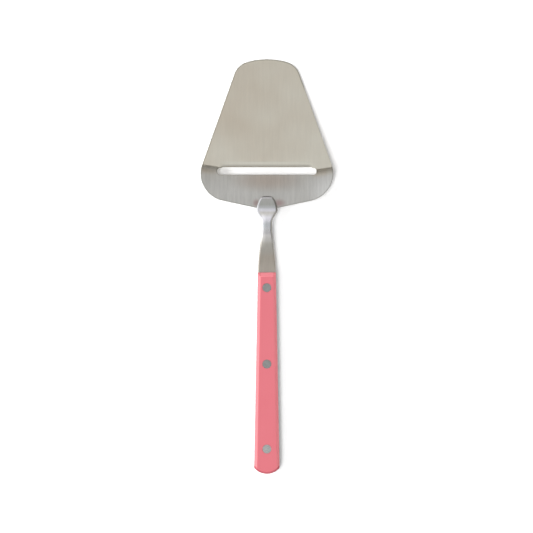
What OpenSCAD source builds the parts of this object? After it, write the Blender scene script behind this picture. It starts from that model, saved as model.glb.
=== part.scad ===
// Cheese slicer: a stamped steel blade, a forged shank welded on it, and a riveted two-scale handle.
// Lengths are in millimetres. It lies as on a table, on the underside of its handle and on the blade's
// tip, with the blade towards +Y. The origin is on the table, under the middle of the whole length.

/* [Blade] */
// Length of the blade, from the crown of its tip to its rear point
blade_l = 89.8; // [86:0.1:96]
// Thickness of the blade's sheet
blade_t = 1; // [0.8:0.1:1.2]
// Width across the tip's corners, before they are rounded
tip_w = 34.6; // [30:0.1:42]
// Radius of the tip's crown
tip_r = 41; // [30:0.1:42]
// Radius of the tip's corners
tip_corner_r = 10.8; // [6:0.1:11]
// Width across the shoulders, before they are rounded
shoulder_w = 88.8; // [80:0.1:96]
// Distance of the shoulders in front of the rear point
shoulder_set = 9.5; // [6:0.1:12]
// Radius of the shoulders
shoulder_r = 16.5; // [10:0.1:18]
// Slope of the blade on the table, in degrees
blade_tilt = 4.5; // [3:0.1:6]

/* [Slot] */
// Length of the sole, from the slot to the blade's rear point
sole_l = 21; // [19:0.1:24]
// Length of the slot across the blade
slot_w = 58.5; // [50:0.1:62]
// Gap between the cutting edge and the sole
slot_gap = 4.7; // [4.6:0.1:6]
// Radius of the slot's corners
slot_corner_r = 1.8; // [1.2:0.1:1.8]
// Set-back of the slot's front edge as punched, behind the cutting edge that is ground into it
edge_set = 0.5; // [0.3:0.1:0.8]
// Distance of the ground stretch's ends from the slot's ends
grind_set = 3.2; // [3.1:0.1:6]
// Width of the ground bevel in front of the cutting edge
grind_w = 3.2; // [2:0.1:5]
// Width of the steep honed bevel at the cutting edge
hone_w = 0.6; // [0.3:0.1:1]
// Thickness left at the cutting edge
edge_t = 0.1; // [0.05:0.01:0.2]
// Run-out of the ground stretch at each end, from the sheet's underside up to its top
grind_run = 1.2; // [0.6:0.1:1.2]

/* [Step between the paddle and the sole] */
// Height of the sole over the paddle, which sets the slice's thickness
step_h = 1.8; // [1.2:0.1:2.6]
// Bend radius at the foot of the step, at the middle of the sheet
foot_r = 1.2; // [1:0.1:2]
// Bend radius at the head of the step, at the middle of the sheet
head_r = 8; // [5:0.1:10]
// Slant of the crease from the slot's ends to the blade's edges, in degrees
crease_slant = 9; // [4:0.1:14]

/* [Shank] */
// Lap of the welded tab over the blade
lap_l = 8.4; // [6.5:0.1:10]
// Width of the tab
tab_w = 12.4; // [10:0.1:13.6]
// Thickness of the tab over the blade
tab_t = 2; // [1.6:0.1:2.6]
// Width of the shank's waist
waist_w = 6.1; // [5:0.1:7]
// Distance of the waist's start behind the blade
waist_at = 7.5; // [6:0.1:11]
// Length of the waist
waist_l = 4.4; // [2:0.1:6]
// Width of the neck where it enters the handle
neck_w = 10.5; // [8:0.1:10.6]
// Length of the neck, from the blade's rear point to the scales
neck_l = 36.5; // [33:0.1:44]
// Thickness of the tang between the scales
tang_t = 2.5; // [2:0.1:3.5]

/* [Handle] */
// Length of the handle
handle_l = 118.8; // [100:0.1:130]
// Width of the handle at its front
front_w = 10.7; // [10.7:0.1:13]
// Width of the handle at the corners of its end
end_w = 15; // [13:0.1:16]
// Radius of the handle's round end
end_r = 9.8; // [9.6:0.1:14]
// Thickness of each scale
scale_t = 3; // [2.6:0.1:4]
// Width of the bevel along each scale's sides
side_bevel_w = 1.7; // [1:0.1:2]
// Height of the bevel along each scale's sides
side_bevel_h = 1.4; // [0.8:0.1:2]
// Length of the slope at each scale's front
front_bevel_l = 2.6; // [1.5:0.1:4]
// Height of the slope at each scale's front
front_bevel_h = 2.3; // [1.5:0.1:2.4]
// Width and height of the chamfer round each scale's end
end_chamfer = 1.1; // [0.6:0.1:1.4]

/* [Rivets] */
// Distance of the front rivet behind the scales' front
front_rivet_at = 9; // [7:0.1:20]
// Distance of the middle rivet behind the scales' front
middle_rivet_at = 54; // [40:0.1:70]
// Distance of the rear rivet in front of the handle's end
rear_rivet_at = 14.7; // [10:0.1:20]
// Diameter of the rivet heads
head_d = 5.1; // [4.8:0.1:6]
// Thickness of the rivet heads
head_t = 1.1; // [0.8:0.1:1.3]
// Outer diameter of the rivet's sleeve
sleeve_d = 3.4; // [3.2:0.1:3.8]
// Diameter of the rivet's pin
pin_d = 2.1; // [1.8:0.1:2.2]

/* [Hidden] */
$fn = 64;
// Run of every cut past the faces that it opens
over = 1;
// Angle between the points of a round stretch of outline, in degrees
arc_step = 4;
// Slope of the tip's two straight flanks, in degrees
tip_slope = 17;
// Radius of the blade's rear point, which lies under the tab
rear_r = 1;
// Longest rounding of a corner, as a share of the wall that is left for it
fillet_share = 0.99;
// Start of the step past the cutting edge, as a share of the slot's gap
crease_share = 0.24;
// Place of the mitre inside the slot's end, as a share of the slot's corner radius
mitre_share = 0.6;
// Room between the blade's rear edges and the shank behind them
weld_gap = 0.1;
// Room between the neck and the scales that it passes
neck_gap = 0.05;
// Cover of the scales over the front of the tang's flat
tang_set = 0.6;
// Room round a rivet head in its counterbore
head_gap = 0.05;
// Room round a sleeve in its holes
sleeve_gap = 0.1;
// Room round a pin in its sleeve
pin_gap = 0.03;
// Room past the end of a pin or a sleeve
end_gap = 0.3;
// Rounding of the neck's long edges where it meets the handle
neck_edge_r = 0.6;
// Rounding of the tab's rim, across and down
tab_rim = [1.3, 1];
// Rounding of the waist's edges, across and down
waist_rim = [1.1, 1.5];
// Steps in the rounding of one edge of the shank
rim_steps = 4;
// Steps along the tab's nose, and along the rest of the shank
nose_steps = 6;
shank_steps = 54;
// Largest rounding of the shank's edges, as shares of its half width and of its height
rim_w_share = 0.9;
rim_h_share = 0.45;
// Length of the tab's nose, as a share of the lap
nose_share = 0.36;
// How far a bevel's cutter runs past both edges, as a share of the bevel
bevel_over_share = 0.5;
// Width of the straight part of the handle's stencil, as a share of the round end's width
stencil_share = 0.94;

// Plan of the tab, from its front to the blade's rear point: shares of the lap and of the half width
nose_shares = [
    [0, 0.3], [0.03, 0.44], [0.08, 0.56], [0.17, 0.66], [0.3, 0.77], [0.5, 0.885], [0.76, 0.975], [1, 1],
];
// Plan from the tab to the waist: shares of the distance and of the loss of width
narrowing_shares = [[0.22, 0.25], [0.42, 0.55], [0.61, 0.81], [0.8, 0.95], [1, 1]];
// Plan from the waist to the scales: shares of the distance and of the gain of width
flare_shares = [[0, 0], [0.09, 0.12], [0.2, 0.3], [0.35, 0.48], [0.55, 0.7], [0.78, 0.9], [1, 1]];
// Fall of the shank's top and of its underside: shares of the neck's length and of the whole fall
top_fall_shares = [
    [0.03, 0.02], [0.1, 0.13], [0.19, 0.34], [0.29, 0.57], [0.42, 0.8], [0.55, 0.93], [0.7, 0.99], [0.82, 1],
];
under_fall_shares = [[0.06, 0.12], [0.14, 0.36], [0.28, 0.72], [0.42, 0.92], [0.58, 1], [0.8, 1]];

// Blade: height of the sole's top over the paddle's underside, and the step's own angle and length
sole_top = step_h + blade_t;
step_turn = acos(1 - step_h / (foot_r + head_r));
step_l = (foot_r + head_r) * sin(step_turn);
edge_at = blade_l - sole_l - slot_gap;
crease_at = edge_at + crease_share * slot_gap;
mitre_at = slot_w / 2 - mitre_share * slot_corner_r;

// Lengths as they lie on the table, measured from the tip
blade_run = blade_l * cos(blade_tilt);
tab_at = blade_run - lap_l;
scales_at = blade_run + neck_l;
handle_end = scales_at + handle_l;
end_centre = handle_end - end_r;
end_corner = end_centre + sqrt(end_r * end_r - end_w * end_w / 4);
side_turn = atan((end_w - front_w) / 2 / (end_corner - scales_at));
tip_lead = blade_t * sin(blade_tilt);
tip_y = (handle_end - tip_lead) / 2;

// Heights over the table
tang_z = scale_t;
tang_top = scale_t + tang_t;
handle_t = tang_top + scale_t;

rivet_places = [
    scales_at + front_rivet_at,
    scales_at + middle_rivet_at,
    handle_end - rear_rivet_at,
];

// Turns the length from the tip into the frame of the whole object.
module from_tip() {
    translate([0, tip_y, 0]) rotate([0, 0, 180]) children();
}

// Lays what is drawn on the flat blade at the blade's slope.
module on_blade() {
    from_tip() rotate([blade_tilt, 0, 0]) children();
}

// Extrudes a side view, drawn as length and height, across the object.
module across(width) {
    rotate([90, 0, 90]) linear_extrude(height = width, center = true) children();
}

function unit(v) = v / norm(v);

// Half the angle at the corner b between its neighbours a and c.
function half_angle(a, b, c) = acos(unit(a - b) * unit(c - b)) / 2;

// Points of one rounded corner b between its neighbours a and c.
function corner(a, b, c, r) =
    let (
        back = unit(a - b),
        ahead = unit(c - b),
        half = half_angle(a, b, c),
        centre = b + unit(back + ahead) * r / sin(half),
        start = b + back * r / tan(half) - centre,
        sweep = (180 - 2 * half) * sign(cross(b - a, c - b)),
        steps = 2 * ceil(abs(sweep) / arc_step / 2)
    )
    [for (k = [0:steps]) let (t = sweep * k / steps)
        centre + [start.x * cos(t) - start.y * sin(t), start.x * sin(t) + start.y * cos(t)]];

// Closed outline with each corner rounded to its own radius.
function rounded(points, radii) =
    let (n = len(points))
    [for (i = [0:n - 1])
        each corner(points[(i + n - 1) % n], points[i], points[(i + 1) % n], radii[i])];

function blade_outline() =
    let (
        crown = [0, -tip_r * (1 / cos(tip_slope) - 1)],
        tip_corner = crown + tip_w / 2 * [1, tan(tip_slope)],
        shoulder = [shoulder_w / 2, blade_l - shoulder_set],
        flank_l = norm(tip_corner - crown) - tip_r * tan(tip_slope),
        flank_r = flank_l * tan(half_angle(crown, tip_corner, shoulder)),
        corner_r = min(tip_corner_r, fillet_share * flank_r),
        flip = [[-1, 0], [0, 1]]
    )
    rounded(
        [crown, tip_corner, shoulder, [0, blade_l], flip * shoulder, flip * tip_corner],
        [tip_r, corner_r, shoulder_r, rear_r, shoulder_r, corner_r]
    );

// One face of the stepped sheet as seen from the side: side is -1 for the underside, 1 for the top.
function sheet_face(side) =
    let (
        foot = foot_r - side * blade_t / 2,
        head = head_r + side * blade_t / 2,
        foot_centre = [crease_at, blade_t / 2 + foot_r],
        head_centre = [crease_at + step_l, step_h + blade_t / 2 - head_r],
        steps = ceil(step_turn / arc_step)
    )
    concat(
        [[-over, blade_t * (1 + side) / 2]],
        [for (k = [0:steps]) let (t = step_turn * k / steps)
            foot_centre + foot * [sin(t), -cos(t)]],
        [for (k = [steps - 1:-1:0]) let (t = step_turn * k / steps)
            head_centre + head * [-sin(t), cos(t)]],
        [[blade_l + over, step_h + blade_t * (1 + side) / 2]]
    );

// One section of the stepped sheet: on the mitre of its side, or that far out along the creases.
function sheet_ring(side, out) =
    let (
        top = sheet_face(1),
        under = sheet_face(-1),
        lean = tan(crease_slant / 2)
    )
    [for (p = concat(top, [for (i = [len(under) - 1:-1:0]) under[i]]))
        [
            side * (mitre_at + (p.x - crease_at) * lean + out * cos(crease_slant)),
            p.x - out * sin(crease_slant),
            p.y,
        ]];

// A closed skin through rings of points, each counter-clockwise as seen along the way it goes.
module loft(rings) {
    n = len(rings[0]);
    last = (len(rings) - 1) * n;
    polyhedron(
        points = [for (ring = rings) each ring],
        faces = concat(
            [for (i = [0:len(rings) - 2]) for (k = [0:n - 1])
                let (a = i * n + k, b = i * n + (k + 1) % n)
                each [[a, b, b + n], [a, b + n, a + n]]],
            [[for (k = [n - 1:-1:0]) k]],
            [[for (k = [0:n - 1]) last + k]]
        ),
        convexity = 4
    );
}

// The pressed sheet: its step runs straight along the slot, and slants towards the tip beyond it.
module stepped_sheet() {
    intersection() {
        loft([
            sheet_ring(-1, shoulder_w / 2),
            sheet_ring(-1, 0),
            sheet_ring(1, 0),
            sheet_ring(1, shoulder_w / 2),
        ]);
        translate([0, 0, -over])
            linear_extrude(height = sole_top + 2 * over) polygon(blade_outline());
    }
}

// The slot as it is punched, with rounded corners.
module slot() {
    front = edge_at + edge_set;
    rear = edge_at + slot_gap;
    end = slot_w / 2;
    corner_r = min(slot_corner_r, fillet_share * (rear - front) / 2);
    corners = [[-end, front], [end, front], [end, rear], [-end, rear]];
    translate([0, 0, -over])
        linear_extrude(height = sole_top + 2 * over)
            polygon(rounded(corners, [for (c = corners) corner_r]));
}

// What is ground off along the slot: the punched edge, down to the cutting edge, and in front of it a
// steep honed bevel and a long one on the paddle's top. The stretch ends in a slope on both sides.
module grind() {
    hone_t = edge_t + hone_w * (blade_t - edge_t) / (grind_w - hone_w);
    end = slot_w / 2 - grind_set;
    low_end = end - grind_run * over / blade_t;
    high_end = end + grind_run * (blade_t + over) / blade_t;
    far = edge_at + 2 * edge_set;
    intersection() {
        across(2 * high_end) polygon([
            [edge_at - grind_w, blade_t],
            [edge_at - hone_w, hone_t],
            [edge_at, edge_t],
            [edge_at, -over],
            [far, -over],
            [far, blade_t + over],
            [edge_at - grind_w, blade_t + over],
        ]);
        translate([0, far + over, 0]) rotate([90, 0, 0])
            linear_extrude(height = far + over - edge_at + grind_w + over)
                polygon([
                    [-low_end, -over],
                    [low_end, -over],
                    [high_end, blade_t + over],
                    [-high_end, blade_t + over],
                ]);
    }
}

module blade() {
    color("silver") on_blade() difference() {
        stepped_sheet();
        slot();
        grind();
    }
}

// A smooth curve through the rows of a table of [place, value], with no overshoot between them.
function rise(rows, i) = (rows[i + 1][1] - rows[i][1]) / (rows[i + 1][0] - rows[i][0]);
function slope(rows, i) =
    i == 0 ? rise(rows, 0)
    : i == len(rows) - 1 ? rise(rows, i - 1)
    : let (a = rise(rows, i - 1), b = rise(rows, i)) a * b <= 0 ? 0 : 2 * a * b / (a + b);
function span_of(rows, x, i = 0) =
    i >= len(rows) - 2 || x < rows[i + 1][0] ? i : span_of(rows, x, i + 1);
function curve(rows, x) =
    let (
        i = span_of(rows, x),
        l = rows[i + 1][0] - rows[i][0],
        t = (x - rows[i][0]) / l,
        a = rows[i][1],
        b = rows[i + 1][1]
    )
    a + (b - a) * t * t * (3 - 2 * t)
        + l * slope(rows, i) * t * (1 - t) * (1 - t)
        - l * slope(rows, i + 1) * t * t * (1 - t);

// Height of the sole's top over the table, at a length from the tip.
function seat(y) = y * tan(blade_tilt) + sole_top / cos(blade_tilt);

shank_end = scales_at + 2 * tang_set;
waist_from = blade_run + waist_at;
waist_to = waist_from + waist_l;
flare_l = scales_at - waist_to;
waist_loss = (tab_w - waist_w) / 2;
neck_gain = (neck_w - waist_w) / 2;
top_fall = seat(blade_run) + tab_t - tang_top + neck_gap;
under_fall = seat(blade_run) - blade_t - tang_z - neck_gap;

// Half widths, tops, undersides and edge roundings of the shank along its length
width_rows = concat(
    [for (s = nose_shares) [tab_at + s[0] * lap_l, s[1] * tab_w / 2]],
    [for (s = narrowing_shares) [blade_run + s[0] * waist_at, tab_w / 2 - s[1] * waist_loss]],
    [for (s = flare_shares) [waist_to + s[0] * flare_l, waist_w / 2 + s[1] * neck_gain]],
    [[shank_end + over, neck_w / 2]]
);
top_rows = concat(
    [for (t = [0:30:90])
        let (y = tab_at + tab_rim[0] * (1 - cos(t)))
        [y, seat(y) + tab_t - tab_rim[1] * (1 - sin(t))]],
    [[blade_run, seat(blade_run) + tab_t]],
    [for (s = top_fall_shares)
        [blade_run + s[0] * neck_l, seat(blade_run) + tab_t - s[1] * top_fall]],
    [[shank_end + over, tang_top - neck_gap]]
);
under_rows = concat(
    [
        [tab_at, seat(tab_at) - blade_t],
        [blade_run, seat(blade_run) - blade_t],
    ],
    [for (s = under_fall_shares)
        [blade_run + s[0] * neck_l, seat(blade_run) - blade_t - s[1] * under_fall]],
    [[shank_end + over, tang_z + neck_gap]]
);
rim_w_rows = [
    [tab_at, tab_rim[0]], [blade_run, tab_rim[0]],
    [waist_from, waist_rim[0]], [waist_to, waist_rim[0]],
    [scales_at, neck_edge_r], [shank_end + over, neck_edge_r],
];
rim_h_rows = [
    [tab_at, tab_rim[1]], [blade_run, tab_rim[1]],
    [waist_from, waist_rim[1]], [waist_to, waist_rim[1]],
    [scales_at, neck_edge_r], [shank_end + over, neck_edge_r],
];

// One section of the shank: a rectangle with elliptic corners.
function section(y) =
    let (
        half = curve(width_rows, y),
        top = curve(top_rows, y),
        under = curve(under_rows, y),
        rim_w = min(curve(rim_w_rows, y), rim_w_share * half),
        rim_h = min(curve(rim_h_rows, y), rim_h_share * (top - under))
    )
    [for (q = [0:3]) for (k = [0:rim_steps])
        let (
            t = 90 * (q + k / rim_steps),
            right = q == 0 || q == 3 ? 1 : -1,
            up = q < 2 ? 1 : -1
        )
        [
            right * (half - rim_w) + rim_w * cos(t),
            y,
            (up > 0 ? top - rim_h : under + rim_h) + rim_h * sin(t),
        ]];

// The tab and the neck: a loft through the sections, down to the level of the tang.
module forged_neck() {
    nose_l = nose_share * lap_l;
    rest_l = shank_end - tab_at - nose_l;
    places = concat(
        [for (i = [0:nose_steps - 1]) tab_at + nose_l * pow(i / nose_steps, 2)],
        [for (i = [0:shank_steps]) tab_at + nose_l + rest_l * i / shank_steps]
    );
    loft([for (y = places) section(y)]);
}

// Plan of the handle: tapered sides and a round end.
module handle_plan(from) {
    widen = tan(side_turn);
    near = front_w / 2 + (from - scales_at) * widen;
    far = front_w / 2 + (handle_end - scales_at) * widen;
    stencil_w = 2 * end_r * stencil_share;
    intersection() {
        polygon([[-near, from], [near, from], [far, handle_end], [-far, handle_end]]);
        union() {
            translate([0, end_centre]) circle(r = end_r);
            translate([-stencil_w / 2, from - over])
                square([stencil_w, end_centre - from + over]);
        }
    }
}

// Room that the blade takes: all that lies under its sole's top and in front of its rear edges.
module blade_room() {
    on_blade() translate([-tab_w, -over, -sole_top])
        cube([2 * tab_w, blade_l + over + weld_gap, 2 * sole_top]);
}

module shank() {
    color("gainsboro") difference() {
        from_tip() difference() {
            union() {
                forged_neck();
                translate([0, 0, tang_z])
                    linear_extrude(height = tang_t) handle_plan(scales_at + tang_set);
            }
            for (y = rivet_places)
                translate([0, y, tang_z - over])
                    cylinder(d = sleeve_d + 2 * sleeve_gap, h = tang_t + 2 * over);
        }
        blade_room();
    }
}

// Slanted cutter for a bevel of width w and height h at the top outer corner [at, z].
module bevel_cut(at, z, w, h) {
    past_w = w * bevel_over_share;
    past_h = h * bevel_over_share;
    polygon([
        [at - w - past_w, z + past_h],
        [at + past_w, z - h - past_h],
        [at + past_w, z + past_h],
    ]);
}

// A scale as it lies on a table, with its flat inner face down at z = 0.
module handle_scale() {
    side_l = handle_end - scales_at + 2 * over;
    from_tip() difference() {
        linear_extrude(height = scale_t) handle_plan(scales_at);
        for (side = [0, 1]) mirror([side, 0, 0])
            translate([front_w / 2, scales_at, 0]) rotate([0, 0, -side_turn])
                translate([0, side_l - over, 0]) rotate([90, 0, 0])
                    linear_extrude(height = side_l)
                        bevel_cut(0, scale_t, side_bevel_w, side_bevel_h);
        translate([0, scales_at, 0]) mirror([0, 1, 0]) across(2 * front_w)
            bevel_cut(0, scale_t, front_bevel_l, front_bevel_h);
        translate([0, end_centre, 0])
            rotate_extrude(angle = 180) bevel_cut(end_r, scale_t, end_chamfer, end_chamfer);
        for (y = rivet_places) translate([0, y, 0]) {
            translate([0, 0, -over])
                cylinder(d = sleeve_d + 2 * sleeve_gap, h = scale_t + 2 * over);
            translate([0, 0, scale_t - head_t])
                cylinder(d = head_d + 2 * head_gap, h = head_t + over);
        }
    }
}

module upper_scale() {
    color("lightcoral") translate([0, 0, tang_top]) handle_scale();
}

module lower_scale() {
    color("lightcoral") translate([0, 0, tang_z]) mirror([0, 0, 1]) handle_scale();
}

// Upper half of a rivet: its flush head and the pin that is pressed into the sleeve.
module rivet_pin(y) {
    pin_from = head_t + end_gap;
    pin_to = handle_t - head_t / 2;
    from_tip() translate([0, y, 0]) {
        translate([0, 0, handle_t - head_t]) cylinder(d = head_d, h = head_t);
        translate([0, 0, pin_from]) cylinder(d = pin_d, h = pin_to - pin_from);
    }
}

// Lower half of a rivet: its flush head and the sleeve that runs up through the tang.
module rivet_sleeve(y) {
    from_tip() translate([0, y, 0]) difference() {
        union() {
            cylinder(d = head_d, h = head_t);
            cylinder(d = sleeve_d, h = handle_t - head_t - end_gap);
        }
        translate([0, 0, head_t])
            cylinder(d = pin_d + 2 * pin_gap, h = handle_t);
    }
}

module front_rivet_pin() { color("darkgray") rivet_pin(rivet_places[0]); }
module front_rivet_sleeve() { color("darkgray") rivet_sleeve(rivet_places[0]); }
module middle_rivet_pin() { color("darkgray") rivet_pin(rivet_places[1]); }
module middle_rivet_sleeve() { color("darkgray") rivet_sleeve(rivet_places[1]); }
module rear_rivet_pin() { color("darkgray") rivet_pin(rivet_places[2]); }
module rear_rivet_sleeve() { color("darkgray") rivet_sleeve(rivet_places[2]); }

blade();
shank();
upper_scale();
lower_scale();
front_rivet_pin();
front_rivet_sleeve();
middle_rivet_pin();
middle_rivet_sleeve();
rear_rivet_pin();
rear_rivet_sleeve();
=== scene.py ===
"""A cheese slicer lying on a pale table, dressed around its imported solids.

The slicer is a pressed steel blade, a forged shank welded on it and a riveted handle of two scales.
Sizes are in millimetres and become metres where a mesh is made. Plans are drawn in the slicer's own
lengths: across the tool, and along it from the blade's tip.
"""

import logging
import math
from collections.abc import Callable, Sequence
from dataclasses import dataclass
from enum import Enum

import bpy
import numpy as np
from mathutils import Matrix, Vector
from mathutils.geometry import delaunay_2d_cdt

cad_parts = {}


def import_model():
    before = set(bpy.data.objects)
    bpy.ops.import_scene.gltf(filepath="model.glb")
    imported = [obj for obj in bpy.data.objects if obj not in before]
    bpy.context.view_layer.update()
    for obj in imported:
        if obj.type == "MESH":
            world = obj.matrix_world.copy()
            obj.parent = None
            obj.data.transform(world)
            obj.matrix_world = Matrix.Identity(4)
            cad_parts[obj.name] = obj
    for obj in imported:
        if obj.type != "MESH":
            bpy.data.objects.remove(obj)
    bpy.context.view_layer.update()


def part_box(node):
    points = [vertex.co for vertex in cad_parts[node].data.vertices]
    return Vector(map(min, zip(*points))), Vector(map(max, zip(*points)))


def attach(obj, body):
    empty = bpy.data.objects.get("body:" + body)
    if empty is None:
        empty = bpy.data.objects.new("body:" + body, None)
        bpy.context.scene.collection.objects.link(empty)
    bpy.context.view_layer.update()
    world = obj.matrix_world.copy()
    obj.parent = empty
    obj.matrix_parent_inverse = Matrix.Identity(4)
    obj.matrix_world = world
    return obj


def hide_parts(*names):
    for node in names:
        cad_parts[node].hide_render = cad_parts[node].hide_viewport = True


LOG = logging.getLogger("cheese_slicer")
MM = 0.001
BODY = "root"

# Spacing of the points that trace an outline before it is respaced.
TRACE_STEP = 0.04
# Number of points whose distances are taken at once.
BATCH = 200
# Distance under which two points of a plan are one.
SAME_POINT = 1e-6
# Stretch that holds most of a noise's values.
NOISE_STRETCH = (0.3, 0.7)
# Points in each corner of the shank's sections, and where the left rim, the right rim with the edge under
# it and the lower left edge lie in them.
CORNER_POINTS = 8
LEFT, RIGHT, LOW_LEFT = slice(0, 8), slice(11, 27), slice(30, 38)
# Rays that see the background.
SEEN_RAYS = ("Is Camera Ray", "Is Glossy Ray", "Is Transmission Ray")
# Corners of a square round its middle.
CORNERS = ((-1, -1), (1, -1), (1, 1), (-1, 1))

Array = np.ndarray
Pair = tuple[float, float]
Rows = Sequence[Pair]
Window = tuple[float, float, float, float]
Point = tuple[float, float, float]
Colour = tuple[float, float, float]
Height = Callable[[Array, Array], Array]
Placement = Callable[[Array], Array]
Spot = Callable[[float, float, float], Vector]
Piece = bpy.types.Object
Material = bpy.types.Material
Tree = bpy.types.NodeTree
Socket = bpy.types.NodeSocket
Number = Socket | float
Tone = Socket | Colour


class Slot(Enum):
    """Names of the record's material slots."""

    BLADE = "blade_steel"
    SHANK = "shank_steel"
    HANDLE = "handle_plastic"
    RIVET = "rivet_metal"


class Side(Enum):
    """The two sides of the handle, with the sign of the way that a scale faces."""

    UPPER = 1
    LOWER = -1


def smoothstep(x: Array, low: float, high: float) -> Array:
    """Rises smoothly from 0 at low to 1 at high."""
    t = np.clip((x - low) / (high - low), 0.0, 1.0)
    return t * t * (3.0 - 2.0 * t)


def soft_min(a: Array, b: Array, reach: float) -> Array:
    """Smaller of two heights, with the corner between them rounded over a reach."""
    share = np.clip(0.5 + 0.5 * (b - a) / reach, 0.0, 1.0)
    return b + (a - b) * share - reach * share * (1.0 - share)


def window(x: Array, start: float, full: float, fall: float, end: float) -> Array:
    """Rises smoothly from 0 at start to 1 at full, and goes back to 0 from fall to end."""
    return smoothstep(x, start, full) * (1.0 - smoothstep(x, fall, end))


def unit(rows: Array) -> Array:
    """Directions with their lengths made 1."""
    return rows / np.linalg.norm(rows, axis=1)[:, None]


def packed_box(node: str) -> tuple[Vector, Vector]:
    """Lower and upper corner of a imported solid, in millimetres."""
    low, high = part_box(node)
    return low / MM, high / MM


class Curve:
    """A smooth curve through the rows of a table, with no overshoot between them."""

    def __init__(self, rows: Rows) -> None:
        """Keeps the table.

        Args:
            rows: Places and values, by rising place.
        """
        self.x = np.array([r[0] for r in rows])
        self.y = np.array([r[1] for r in rows])
        rise = np.diff(self.y) / np.diff(self.x)
        product = rise[:-1] * rise[1:]
        total = np.where(rise[:-1] + rise[1:] == 0.0, 1.0, rise[:-1] + rise[1:])
        inner = np.where(product <= 0.0, 0.0, 2.0 * product / total)
        self.slope = np.concatenate([rise[:1], inner, rise[-1:]])

    def __call__(self, x: float) -> float:
        """Value of the curve at a place.

        Args:
            x: The place.

        Returns:
            The value.
        """
        i = int(np.clip(np.searchsorted(self.x, x, side="right") - 1, 0, len(self.x) - 2))
        run = self.x[i + 1] - self.x[i]
        t = (x - self.x[i]) / run
        a, b = self.y[i], self.y[i + 1]
        bend = self.slope[i] * t * (1 - t) ** 2 - self.slope[i + 1] * t * t * (1 - t)
        return float(a + (b - a) * t * t * (3 - 2 * t) + run * bend)


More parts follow.
